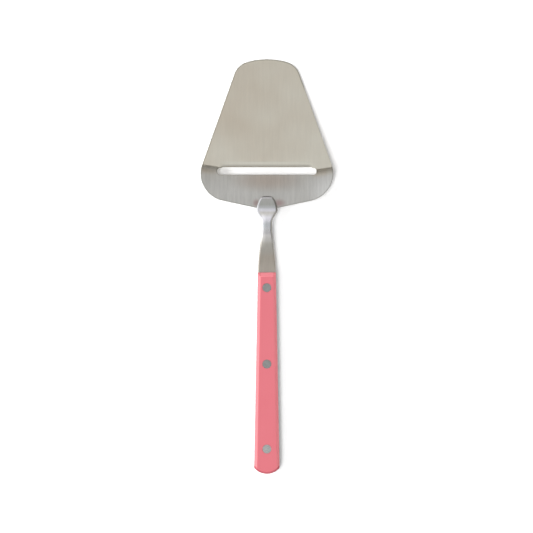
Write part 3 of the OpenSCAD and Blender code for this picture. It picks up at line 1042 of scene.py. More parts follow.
@dataclass(frozen=True)
class ShankFinish:
    """Forged steel, satin polished on the tab and duller down the neck, with reflections and shade painted
    into its colour.

    Attributes:
        tones: Colours at lengths behind the tab's front, with the reflections of each bend painted in.
        shade: Colour of the painted shade on the right rim.
        glint, pale: Colours of the painted highlights on the left rim's inner half along the tab, and on
            that rim past it.
        turned: Gain of the waist's left half, a painted highlight.
        turned_from, turned_to: Lengths behind the tab's front between which it sets in and ends.
        turned_across: Places across between which it grows.
        dull: Lengths behind the tab's front between which the steel grows duller.
        tab_roughness, neck_roughness: Roughness of the tab and of the neck.
    """

    tones: tuple[tuple[float, Colour], ...] = (
        (0.55, (0.46, 0.445, 0.44)),
        (1.0, (0.80, 0.78, 0.80)),
        (1.55, (0.53, 0.525, 0.51)),
        (4.9, (0.475, 0.48, 0.455)),
        (6.3, (0.56, 0.57, 0.575)),
        (8.15, (0.815, 0.81, 0.865)),
        (9.9, (0.595, 0.58, 0.555)),
        (13.1, (0.75, 0.745, 0.795)),
        (16.9, (0.485, 0.505, 0.52)),
        (21.5, (0.465, 0.46, 0.465)),
        (23.3, (0.555, 0.543, 0.537)),
        (25.0, (0.53, 0.518, 0.5)),
        (28.5, (0.445, 0.43, 0.39)),
        (31.5, (0.424, 0.405, 0.367)),
        (36.5, (0.45, 0.408, 0.355)),
        (43.5, (0.49, 0.45, 0.395)),
    )
    shade: Colour = (0.37, 0.355, 0.32)
    glint: Colour = (0.5, 0.5, 0.52)
    pale: Colour = (0.58, 0.58, 0.6)
    turned: float = 1.45
    turned_from: Pair = (9.5, 13.0)
    turned_to: Pair = (31.0, 24.0)
    turned_across: Pair = (-0.4, -2.4)
    dull: Pair = (20.3, 29.3)
    tab_roughness: float = 0.3
    neck_roughness: float = 0.42

    def build(self, effects: Effects, tab_front: float) -> Material:
        """Makes the material.

        Args:
            effects: The shared node groups.
            tab_front: Place of the tab's front along the slicer.

        Returns:
            The material.
        """
        surface = Surface("forged_steel")
        along = surface.axis("Y")
        reach = self.tones[-1][0]
        share, dull, start, end = (
            surface.span(along, *((tab_front - behind) * MM for behind in stretch))
            for stretch in ((0.0, reach), self.dull, self.turned_from, self.turned_to)
        )
        grain = surface.effect(effects.grain, Across=3800.0, Along=110.0)
        clouds = surface.effect(effects.mottle, Scale=160.0, Detail=2.0)["Mask"]
        # Painted reflections of the tab and the bends, by length.
        colour = surface.ramp(share, [(at / reach, tone) for at, tone in self.tones])
        # A painted highlight on the waist's left half.
        across = surface.span(surface.axis("X"), *(place * MM for place in self.turned_across))
        turned = surface.math("MULTIPLY", start, end, across)
        colour = surface.multiplied(colour, surface.span(turned, 0.0, 1.0, 1.0, self.turned))
        # Painted highlights on the left rim and painted shade on the right one.
        colour = surface.over(colour, glint=self.glint, pale=self.pale, shade=self.shade)
        strokes = surface.noise_span(grain["Fine"], 0.94, 1.05)
        shade = surface.math("MULTIPLY", strokes, surface.span(clouds, 0.0, 1.0, 0.96, 1.03))
        surface.feed("Base Color", surface.multiplied(colour, shade))
        surface.set(Metallic=1.0)
        base = surface.span(dull, 0.0, 1.0, self.tab_roughness, self.neck_roughness)
        surface.feed("Roughness", surface.math("ADD", base, surface.noise_span(grain["Broad"], -0.03, 0.04)))
        surface.relief(grain["Fine"], 0.01, 0.4)
        return surface.material


@dataclass(frozen=True)
class PlasticFinish:
    """Moulded pink plastic with a satin gloss and a slight grain.

    Attributes:
        face, pale: Colours of the plastic, and of its paler clouds and handled rims.
        bevel, front: Colours of the painted highlights on the side bevels and on the front bevels.
        chamfer: Colour of the painted shade on the round end's chamfer.
        bounce: Colour that the handle throws on the pale table, where the photograph shows no pink.
        roughness: Roughness of the plastic.
    """

    face: Colour = (0.54, 0.126, 0.151)
    pale: Colour = (0.565, 0.15, 0.175)
    bevel: Colour = (0.72, 0.195, 0.22)
    front: Colour = (0.83, 0.245, 0.28)
    chamfer: Colour = (0.42, 0.075, 0.095)
    bounce: Colour = (0.27, 0.25, 0.26)
    roughness: float = 0.34

    def build(self, effects: Effects) -> Material:
        """Makes the material.

        Args:
            effects: The shared node groups.

        Returns:
            The material.
        """
        surface = Surface("pink_moulded_plastic")
        clouds = surface.effect(effects.mottle, Scale=70.0, Detail=2.0)["Mask"]
        pits = surface.effect(effects.mottle, Scale=2600.0, Detail=1.0)["Mask"]
        rim = surface.effect(effects.rim, Scale=500.0, Breakup=0.4)["Mask"]
        handled = surface.math("MULTIPLY", rim, 0.5)
        share = surface.math("ADD", surface.math("MULTIPLY", clouds, 0.25), handled)
        colour = surface.blend(share, self.face, self.pale)
        # Painted highlights on the bevels and painted shade on the end's chamfer.
        colour = surface.over(colour, bevel=self.bevel, front=self.front, chamfer=self.chamfer)
        bounced = surface.add("ShaderNodeLightPath").outputs["Is Diffuse Ray"]
        surface.feed("Base Color", surface.blend(bounced, colour, self.bounce))
        uneven = surface.span(clouds, 0.0, 1.0, self.roughness - 0.02, self.roughness + 0.03)
        surface.feed("Roughness", uneven)
        surface.set(IOR=1.5)
        surface.relief(pits, 0.008, 0.35)
        return surface.material


@dataclass(frozen=True)
class RivetFinish:
    """Rivet metal ground flush with the scales, with fine grinding lines.

    Attributes:
        face, dark: Colours of the ground metal and of its grinding lines.
        lines: Stretch of the fine strokes over which the metal goes from dark to bright.
        roughness: Roughness of the metal.
    """

    face: Colour = (0.40, 0.41, 0.405)
    dark: Colour = (0.30, 0.30, 0.295)
    lines: Pair = (0.35, 0.65)
    roughness: float = 0.4

    def build(self, effects: Effects, turn: float, shine: float) -> Material:
        """Makes the material.

        Args:
            effects: The shared node groups.
            turn: Direction of the grinding lines, in degrees.
            shine: How much lighter the metal's colour is, where 1 is usual.

        Returns:
            The material.
        """
        surface = Surface(f"ground_rivet_metal_{round(turn)}")
        grain = surface.effect(effects.grain, Across=6500.0, Along=350.0, Turn=math.radians(turn))
        dark, face = (tuple(shine * c for c in colour) for colour in (self.dark, self.face))
        surface.feed("Base Color", surface.blend(surface.span(grain["Fine"], *self.lines), dark, face))
        surface.set(Metallic=1.0)
        uneven = surface.noise_span(grain["Broad"], self.roughness - 0.04, self.roughness + 0.06)
        surface.feed("Roughness", uneven)
        surface.relief(grain["Fine"], 0.01, 0.5)
        return surface.material


@dataclass(frozen=True)
class CreaseShade:
    """Painted shade in one end of the crease, which the mesh marks for the finish.

    Attributes:
        way, share: 1 for the left end of the crease and -1 for the right, and its strength.
        along: Where it sets in, is full, fades and ends, past the step's foot.
        across: Places across between which it sets in.
        loss, loss_across: Share that it loses near the blade's side, and between which places across.
    """

    way: int
    share: float
    along: Window
    across: Pair
    loss: float = 0.0
    loss_across: Pair = (34.0, 37.0)

    def strength(self, past: Array, u: Array) -> Array:
        """Strength at lengths past the step's foot and places across."""
        found = self.share * window(past, *self.along) * smoothstep(self.way * u, *self.across)
        return found * (1 - self.loss * smoothstep(self.way * u, *self.loss_across))


@dataclass
class Blade:
    """The pressed sheet: paddle, slot with its ground edge, step and sole.

    Lengths run from the tip along the flat blade, heights from the paddle's underside, and places
    across to the left.
    """

    # The sheet, and the corners of its outline, which are rounded. Slopes are in degrees.
    length: float = 89.8
    thick: float = 1.0
    rim: float = 0.24
    tilt: float = 4.5
    tip_w: float = 34.6
    tip_r: float = 41.0
    tip_slope: float = 17.0
    tip_corner_r: float = 10.8
    shoulder_w: float = 88.8
    shoulder_set: float = 9.5
    shoulder_r: float = 16.5
    rear_r: float = 1.0

    # The sole and the slot, with the ground bevel and the honed line along the slot's front edge.
    sole_l: float = 21.0
    slot_w: float = 58.5
    slot_gap: float = 4.7
    slot_corner_r: float = 1.8
    edge_set: float = 0.5
    edge_t: float = 0.1
    grind_set: float = 3.2
    grind_w: float = 3.2
    grind_run: float = 1.2
    grind_fade: float = 2.6
    grind_blend: float = 0.05
    hone_w: float = 0.6
    hone_blend: float = 0.02

    # The step, which slants beyond the slot, and how far the right and left end of its crease lead.
    step_h: float = 1.8
    foot_r: float = 1.2
    head_r: float = 8.0
    crease_share: float = 0.24
    crease_slant: float = 9.0
    mitre_share: float = 0.6
    mitre_blend: float = 1.2
    crease_leads: Pair = (-0.26, 1.42)
    lead_run: Pair = (-3.0, 0.5)
    spacings: tuple[tuple[float, float, float], ...] = ((-0.5, 1.6, 0.14), (-1.0, 6.5, 0.35))

    # Where the finish's marks set in and end: past the step's foot, the cutting edge or the honed line.
    # The right rim is left lighter, with little of the painted edge shade, from a place across and a length
    # from the tip up to the step.
    sole_blend: Pair = (0.3, 5.5)
    warmth: CreaseShade = CreaseShade(-1, 0.6, (0.0, 0.3, 2.5, 6.5), (26.0, 28.0), 0.5)
    smear: CreaseShade = CreaseShade(1, 0.75, (1.6, 3.6, 3.6, 7.5), (24.0, 37.5))
    edge_reach: float = 0.3
    mark_blend: float = 0.1
    hone_fade: Pair = (0.1, 0.4)
    bare_rim: Pair = (1.5, 5.5)
    bright_across: Pair = (15.0, 19.0)
    bright_from: Pair = (14.0, 20.0)
    bright_to: Pair = (-1.0, 1.0)
    bright_share: float = 0.9

    @property
    def edge_at(self) -> float:
        """Distance of the cutting edge from the tip."""
        return self.length - self.sole_l - self.slot_gap

    @property
    def crease_at(self) -> float:
        """Distance of the step's foot from the tip, in the middle of the blade."""
        return self.edge_at + self.crease_share * self.slot_gap

    @property
    def step_turn(self) -> float:
        """Angle by which the sheet bends up, and back again."""
        return math.acos(1 - self.step_h / (self.foot_r + self.head_r))

    @property
    def step_l(self) -> float:
        """Length of the step."""
        return (self.foot_r + self.head_r) * math.sin(self.step_turn)

    @property
    def ground_end(self) -> float:
        """Half length of the straight cutting edge."""
        return self.slot_w / 2 - self.grind_set

    @property
    def lead(self) -> float:
        """How far the top of the tilted tip lies in front of its foot."""
        return self.thick * math.sin(math.radians(self.tilt))

    @property
    def run(self) -> float:
        """Length of the tilted blade in plan."""
        return self.length * math.cos(math.radians(self.tilt))

    def fall(self, u: Array, v: Array) -> Array:
        """Distance along the sheet's side view, with the step slanting beyond the slot.

        Args:
            u: Places across.
            v: Lengths from the tip.

        Returns:
            The distances.
        """
        half = self.slot_w / 2
        mitre = half - self.mitre_share * self.slot_corner_r
        past = self.mitre_blend * np.logaddexp(0.0, (np.abs(u) - mitre) / self.mitre_blend)
        leads = np.where(u < 0, *self.crease_leads)
        lead = leads * smoothstep(np.abs(u), *(half + beyond for beyond in self.lead_run))
        return v + math.tan(math.radians(self.crease_slant)) * past + lead

    def sheet(self, u: Array, v: Array, side: int) -> Array:
        """Height of the sheet before it is ground.

        Args:
            u: Places across.
            v: Lengths from the tip.
            side: 1 for its top, and -1 for its underside.

        Returns:
            The heights.
        """
        p = self.fall(u, v) - self.crease_at
        foot = self.foot_r - side * self.thick / 2
        head = self.head_r + side * self.thick / 2
        base = self.thick * (1 + side) / 2
        rise_foot = base + foot - np.sqrt(np.maximum(foot**2 - np.clip(p, 0, foot) ** 2, 0))
        back = np.clip(self.step_l - p, 0, head)
        rise_head = base + self.step_h - head + np.sqrt(np.maximum(head**2 - back**2, 0))
        bend = foot * math.sin(self.step_turn)
        rise = np.where(p < bend, rise_foot, rise_head)
        return np.where(p <= 0, base, np.where(p >= self.step_l, base + self.step_h, rise))

    def ground_share(self, u: Array) -> Array:
        """How much of the ground bevel is left across the blade: 1 along the edge, 0 past its ends."""
        start, end = self.ground_end - self.grind_fade, self.ground_end + 2 * self.grind_run
        return 1 - smoothstep(np.abs(u), start, end)

    def top(self, u: Array, v: Array) -> Array:
        """Height of the finished top.

        Args:
            u: Places across.
            v: Lengths from the tip.

        Returns:
            The heights.
        """
        whole = self.sheet(u, v, 1)
        ahead = self.edge_at - v
        bevel_l = self.grind_w - self.hone_w
        hone_slope = (self.thick - self.edge_t) / bevel_l
        hone_t = self.edge_t + self.hone_w * hone_slope
        long_bevel = hone_t + (ahead - self.hone_w) * (self.thick - hone_t) / bevel_l
        honed = self.edge_t + np.maximum(ahead, 0) * hone_slope
        honed = np.where(ahead > self.hone_w, long_bevel, honed)
        bevel = soft_min(long_bevel, honed, self.hone_blend)
        cut = np.maximum(whole - soft_min(whole, bevel, self.grind_blend), 0)
        return whole - np.where(v < self.crease_at, cut * self.ground_share(u), 0)

    def under(self, u: Array, v: Array) -> Array:
        """Height of the underside."""
        return self.sheet(u, v, -1)

    def outline(self) -> Array:
        """Outer outline.

        Returns:
            Its points, counter-clockwise.
        """
        slope = math.radians(self.tip_slope)
        crown = -self.tip_r * (1 / math.cos(slope) - 1)
        tip = (self.tip_w / 2, crown + self.tip_w / 2 * math.tan(slope))
        shoulder = (self.shoulder_w / 2, self.length - self.shoulder_set)
        left_tip, left_shoulder = (-tip[0], tip[1]), (-shoulder[0], shoulder[1])
        radii = (self.tip_corner_r, self.shoulder_r)
        loop = Plan.rounded(
            [(0, crown), tip, shoulder, (0, self.length), left_shoulder, left_tip],
            [self.tip_r, *radii, self.rear_r, *reversed(radii)],
        )
        return Plan.respaced(loop, self._spacing)

    def _spacing(self, u: Array, v: Array) -> Array:
        """Spacing of the outline's points, which lie closer where it crosses the step.

        Args:
            u: Places across.
            v: Lengths from the tip.

        Returns:
            The spacings.
        """
        past = self.fall(u, v) - self.crease_at
        near = [(past > start) & (past < end) for start, end, _ in self.spacings]
        return np.select(near, [spacing for *_, spacing in self.spacings], 0.8)

    def slot(self) -> Array:
        """Outline of the slot, with the front edge ground back along its middle.

        Returns:
            Its points, clockwise.
        """
        front, rear, end = self.edge_at + self.edge_set, self.edge_at + self.slot_gap, self.slot_w / 2
        corners = [(-end, front), (-end, rear), (end, rear), (end, front)]
        loop = Plan.rounded(corners, [self.slot_corner_r] * 4, 6.0)
        fine = self.ground_end - 0.6
        loop = Plan.respaced(loop, lambda u, v: np.where(np.abs(u) > fine, 0.14, 0.9))
        along = loop[:, 1] < front + 0.02
        kept = smoothstep(np.abs(loop[:, 0]), self.ground_end, self.ground_end + self.grind_run)
        loop[along, 1] -= (self.edge_set * (1 - kept))[along]
        return loop

    def rows(self) -> list[Array]:
        """Lines that the mesh follows along the step, the ground bevels and the rims.

        Returns:
            The lines.
        """
        half = self.shoulder_w / 2
        us = np.arange(-half, half + 0.4, 0.8)
        top, under = ((self.foot_r - side * self.thick / 2) * math.sin(self.step_turn) for side in (1, -1))
        places = [-0.5, -0.12, 0.0, *np.linspace(0, top, 5)[1:], *np.linspace(top, under, 5)[1:]]
        places += [*np.linspace(under, self.step_l, 10)[1:], self.step_l + 0.3, self.step_l + 0.9]
        slant = self.fall(us, np.zeros_like(us))
        found = [np.column_stack([us, self.crease_at + place - slant]) for place in places]
        run_out = np.arange(self.ground_end, self.ground_end + 2 * self.grind_run + 0.4, 0.2)
        us = np.concatenate([-run_out[::-1], np.arange(-25, 25.1, 1.0), run_out])
        aheads = [self.grind_w + off for off in (0.1, 0.0, -0.1)]
        aheads += [1.9, self.hone_w + 0.06, self.hone_w - 0.06, 0.25]
        found += [np.column_stack([us, np.full(len(us), self.edge_at - ahead)]) for ahead in aheads]
        for loop in (self.outline(), self.slot()):
            out = Plan.outward(loop)
            found += [Plan.closed(loop - out * reach * self.rim) for reach in (2.0, 3.2)]
        return found

    def place(self, layout: Layout) -> Placement:
        """Lays the flat blade down at its tilt.

        Args:
            layout: Where the pieces lie.

        Returns:
            A function that places points of the flat blade.
        """
        tilt = math.radians(self.tilt)
        c, s = math.cos(tilt), math.sin(tilt)

        def placed(points: Array) -> Array:
            """Places points of the flat blade."""
            u, v, w = points.T
            return np.column_stack([-u, layout.tip_y - (v * c - w * s), v * s + w * c])

        return placed

    def build(self, layout: Layout, finish: BladeFinish, effects: Effects) -> Piece:
        """Makes the dressed blade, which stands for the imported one.

        Args:
            layout: Where the pieces lie.
            finish: The blade's finish.
            effects: The shared node groups.

        Returns:
            The piece.
        """
        plate = Plate(
            outer=self.outline(),
            holes=[self.slot()],
            top=self.top,
            under=self.under,
            rows=self.rows(),
            rim=self.rim,
            under_drop=self.rim,
            grid=3.0,
        )
        placed = self.place(layout)

        def at(across: float, behind: float, up: float) -> Vector:
            """Place of a spot on the blade, in metres, from its length behind the cutting edge."""
            return Vector(placed(np.array([[across, self.edge_at + behind, up]]))[0] * MM)

        piece = plate.build("steel_blade", placed)
        self._mark(piece, layout)
        piece.data.materials.append(finish.build(effects, at))
        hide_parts("blade")
        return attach(piece, BODY)

    def _mark(self, piece: Piece, layout: Layout) -> None:
        """Marks the sole, the painted crease shade, the ground bevel and the honed line, and clears the
        painted edge shade from bare rims and most of the right rim.

        Args:
            piece: The piece, with the mark of its rims.
            layout: Where the pieces lie.
        """
        points = Meshes.points(piece)
        tilt = math.radians(self.tilt)
        v = (layout.tip_y - points[:, 1]) * math.cos(tilt) + points[:, 2] * math.sin(tilt)
        u = -points[:, 0]
        past = self.fall(u, v) - self.crease_at
        ahead = self.edge_at - v
        band = smoothstep(-ahead, -self.grind_w - self.mark_blend, -self.grind_w + self.mark_blend)
        hone = 1 - smoothstep(ahead, *(self.hone_w + fade for fade in self.hone_fade))
        left = (ahead > -self.edge_reach) * self.ground_share(u)
        marks = {
            "sole": smoothstep(past, *self.sole_blend),
            "warmth": self.warmth.strength(past, u),
            "smear": self.smear.strength(past, u),
            "ground": band * left,
            "hone": hone * left,
        }
        for name, values in marks.items():
            Meshes.mark(piece, name, values)
        rim = piece.data.attributes["rim"].data
        kept = np.zeros(len(points), np.float32)
        rim.foreach_get("value", kept)
        start, end = (self.edge_at + behind for behind in self.bare_rim)
        kept[(np.abs(u) < self.slot_w / 2) & (v > start) & (v < end)] = 0.0
        bright = smoothstep(-u, *self.bright_across) * smoothstep(v, *self.bright_from)
        kept *= 1 - self.bright_share * bright * (1 - smoothstep(past, *self.bright_to))
        rim.foreach_set("value", kept.astype(np.float32))


@dataclass
class Shank:
    """The forged bar: the tab on the blade, the neck, and the tang between the scales.

    Lengths run from the tip in plan, and places across to the left.
    """

    layout: Layout
    blade: Blade
    handle: "Handle"

    # The tab, the waist and the neck, with the width and height of their rims. A power of 1 makes a rim a
    # straight chamfer, and 2 a round.
    lap_l: float = 8.4
    tab_w: float = 12.4
    tab_t: float = 2.0
    tab_rim: Pair = (1.3, 1.0)
    nose_rim: float = 0.9
    nose_share: float = 0.36
    weld_gap: float = 0.1
    waist_at: float = 7.5
    waist_l: float = 4.4
    waist_w: float = 6.1
    waist_rim: Pair = (1.1, 1.5)
    neck_w: float = 10.5
    neck_rim: Pair = (0.6, 0.6)
    chamfer_power: float = 1.45

    # The tang, which lies a little inside the scales' plan and faces.
    tang_set: float = 0.6
    tang_edge: float = 0.12
    tang_room: float = 0.01
    side_set: float = 0.02
    sink: float = 0.05
    bore_r: float = 1.8
    sharp_angle: float = 38.0

    # How half widths and heights change along the bar, as shares of each stretch and of its change.
    nose_shares: Rows = (
        (0.0, 0.06), (0.004, 0.2), (0.014, 0.34), (0.035, 0.45), (0.08, 0.56),
        (0.17, 0.66), (0.3, 0.77), (0.5, 0.885), (0.76, 0.975), (1.0, 1.0),
    )
    narrowing_shares: Rows = ((0.22, 0.25), (0.42, 0.55), (0.61, 0.81), (0.8, 0.95), (1.0, 1.0))
    flare_shares: Rows = (
        (0.0, 0.0), (0.09, 0.12), (0.2, 0.3), (0.35, 0.48), (0.55, 0.7), (0.78, 0.9), (1.0, 1.0),
    )
    top_fall_shares: Rows = (
        (0.03, 0.02), (0.1, 0.13), (0.19, 0.34), (0.29, 0.57),
        (0.42, 0.8), (0.55, 0.93), (0.7, 0.99), (0.82, 1.0),
    )
    under_fall_shares: Rows = (
        (0.06, 0.12), (0.14, 0.36), (0.28, 0.72), (0.42, 0.92), (0.58, 1.0), (0.8, 1.0),
    )

    # The finish's marks for the painted highlights on the left rim and the painted shade on the right:
    # strengths over the rims, and where they set in, are full, fade and end behind the tab's front.
    glint_round: tuple[float, ...] = (0.0, 0.0, 0.0, 0.3, 0.7, 1.0, 1.0, 0.6)
    shade_round: tuple[float, ...] = (0.0, 0.1, 0.5, *(1.0,) * 13)
    glint_along: Window = (0.8, 1.6, 7.0, 9.0)
    shade_along: Window = (0.3, 1.0, 22.0, 28.0)
    pale_along: Window = (5.0, 7.0, 22.0, 27.0)
    pale_loss: float = 0.7
    pale_loss_along: Pair = (10.5, 15.0)

    def build(self, axes: Sequence[Vector], finish: ShankFinish, effects: Effects) -> Piece:
        """Makes the dressed shank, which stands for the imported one.

        Args:
            axes: Axes of the rivets.
            finish: The shank's finish.
            effects: The shared node groups.

        Returns:
            The piece.
        """
        layout, rings = self.layout, self._rings()
        piece = Meshes.loft("forged_shank", [layout.upright(r) for r in rings], self.sharp_angle)
        tab_at = self.blade.run - self.lap_l
        self._mark(piece, np.array([ring[0, 1] for ring in rings]) - tab_at)
        top = layout.tang_top - layout.tang_low + 1.0
        profile = [(0.0, -1.0), (self.bore_r, -1.0), (self.bore_r, top), (0.0, top)]
        centres = [Vector((axis.x, axis.y, layout.tang_low)) for axis in axes]
        bores = [Meshes.lathe("bore", profile, centre, 48) for centre in centres]
        Meshes.bored(piece, bores, self.sharp_angle)
        piece.data.materials.append(finish.build(effects, layout.tip_y - tab_at))
        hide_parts("shank")
        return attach(piece, BODY)

    def _mark(self, piece: Piece, at: Array) -> None:
        """Marks the rims for the finish's painted highlights and shade.

        Args:
            piece: The skinned shank, before it is bored.
            at: Distance of each ring from the tab's front.
        """
        left = 1 - self.pale_loss * smoothstep(at, *self.pale_loss_along)
        glint, pale, shade = np.zeros((3, LOW_LEFT.stop))
        glint[LEFT] = self.glint_round
        pale[LEFT] = pale[LOW_LEFT] = 1.0
        shade[RIGHT] = self.shade_round
        marks = {
            "glint": (glint, window(at, *self.glint_along)),
            "pale": (pale, window(at, *self.pale_along) * left),
            "shade": (shade, window(at, *self.shade_along)),
        }
        for label, (across, along) in marks.items():
            Meshes.mark(piece, label, np.outer(along, across).ravel())

    def _rings(self) -> list[Array]:
        """Sections of the shank from the tab's front to the handle's end.

        Returns:
            The sections' points, drawn across, along and up.
        """
        layout, blade, handle = self.layout, self.blade, self.handle
        tilt, run = math.radians(blade.tilt), blade.run
        tab_at, neck_l = run - self.lap_l, layout.scales_at - run
        front = layout.scales_at + self.tang_set
        end = front + 1.0
        waist_from, waist_to = run + self.waist_at, run + self.waist_at + self.waist_l
        flare_l = layout.scales_at - waist_to

        def seat(s: float) -> float:
            """Height of the sole, which the tab lies on."""
            return s * math.tan(tilt) + (blade.step_h + blade.thick) / math.cos(tilt)

        top_at, under_at = seat(run) + self.tab_t, seat(run) - blade.thick
        tang_top, tang_low = layout.tang_top - self.sink, layout.tang_low + self.sink
        loss, gain = (self.tab_w - self.waist_w) / 2, (self.neck_w - self.waist_w) / 2
        widths = [(tab_at + a * self.lap_l, b * self.tab_w / 2) for a, b in self.nose_shares]
        widths += [(run + a * self.waist_at, self.tab_w / 2 - b * loss) for a, b in self.narrowing_shares]
        widths += [(waist_to + a * flare_l, self.waist_w / 2 + b * gain) for a, b in self.flare_shares]
        widths += [(end, self.neck_w / 2)]
        nose = [(tab_at + self.nose_rim * (1 - math.cos(t)), t) for t in np.radians([0, 25, 50, 70, 90])]
        tops = [(s, seat(s) + self.tab_t - self.tab_rim[1] * (1 - math.sin(t))) for s, t in nose]
        tops += [(run, top_at)]
        tops += [(run + a * neck_l, top_at - b * (top_at - tang_top)) for a, b in self.top_fall_shares]
        tops += [(end, tang_top)]
        drop = under_at - tang_low
        unders = [(run, under_at)]
        unders += [(run + a * neck_l, under_at - b * drop) for a, b in self.under_fall_shares]
        unders += [(end, tang_low)]
        rim_places = (tab_at, run, waist_from, waist_to, layout.scales_at, end)
        rim_sizes = [*[self.tab_rim] * 2, *[self.waist_rim] * 2, *[self.neck_rim] * 2]
        width, top, under = Curve(widths), Curve(tops), Curve(unders)
        rim_w, rim_h = (Curve(list(zip(rim_places, sizes))) for sizes in zip(*rim_sizes))

        def section(s: float, low: Callable[[float], float]) -> Array:
            """The section at a place, down to the sole or to the shank's own underside."""
            return self._section(s, width(s), top(s), low(s), (rim_w(s), rim_h(s)))

        step_at = run + self.weld_gap
        nose_l = self.nose_share * self.lap_l
        places = [tab_at + nose_l * t * t for t in np.linspace(0, 1, 15)[:-1]]
        places += [*np.arange(tab_at + nose_l, step_at, 0.35), step_at]
        rings = [section(s, seat) for s in places]
        rings += [section(s, under) for s in (*np.arange(step_at + 0.001, front, 0.45), front)]
        tang_top, tang_low = layout.tang_top - self.tang_room, layout.tang_low + self.tang_room
        for s in handle.stations(front):
            half = max(handle.half_width(s) - self.side_set, 0.3)
            edge = min(self.tang_edge, 0.4 * half)
            rings.append(self._section(s, half, tang_top, tang_low, (edge, edge)))
        return rings

    def _section(self, place: float, half: float, top: float, under: float, rim: Pair) -> Array:
        """One ring: a flat top with chamfered rims, upright sides and rounded lower edges.

        Args:
            place: Its distance from the tip.
            half: Half its width.
            top: Height of its top.
            under: Height of its underside.
            rim: Width and height of the upper rims, which shrink on a slender section.

        Returns:
            Its points, from the upper left corner over the top and round.
        """
        height = top - under
        rim_w, rim_h = min(rim[0], 0.9 * half), min(rim[1], 0.55 * height)
        low_w, low_h = min(0.7 * rim_w, 0.7 * half), min(0.7 * rim_h, 0.35 * height)
        turns = np.linspace(0, math.pi / 2, CORNER_POINTS)
        power = 2 / self.chamfer_power
        flat, low_flat = half - rim_w, half - low_w
        round_off = [(math.cos(t), math.sin(t)) for t in turns]
        left = [(flat + rim_w * c**power, top - rim_h + rim_h * s**power) for c, s in round_off]
        low_right = [(-(low_flat + low_w * c), under + low_h - low_h * s) for c, s in round_off]
        right, low_left = ([(-x, z) for x, z in reversed(corner)] for corner in (left, low_right))
        reach, low_reach = (max(wide - 0.12, 0.5 * wide) for wide in (flat, low_flat))
        upper = [(reach, top), (0.0, top), (-reach, top)]
        lower = [(-low_reach, under), (0.0, under), (low_reach, under)]
        ring = [*left, *upper, *right, *low_right, *lower, *low_left]
        return np.array([(x, place, z) for x, z in ring])


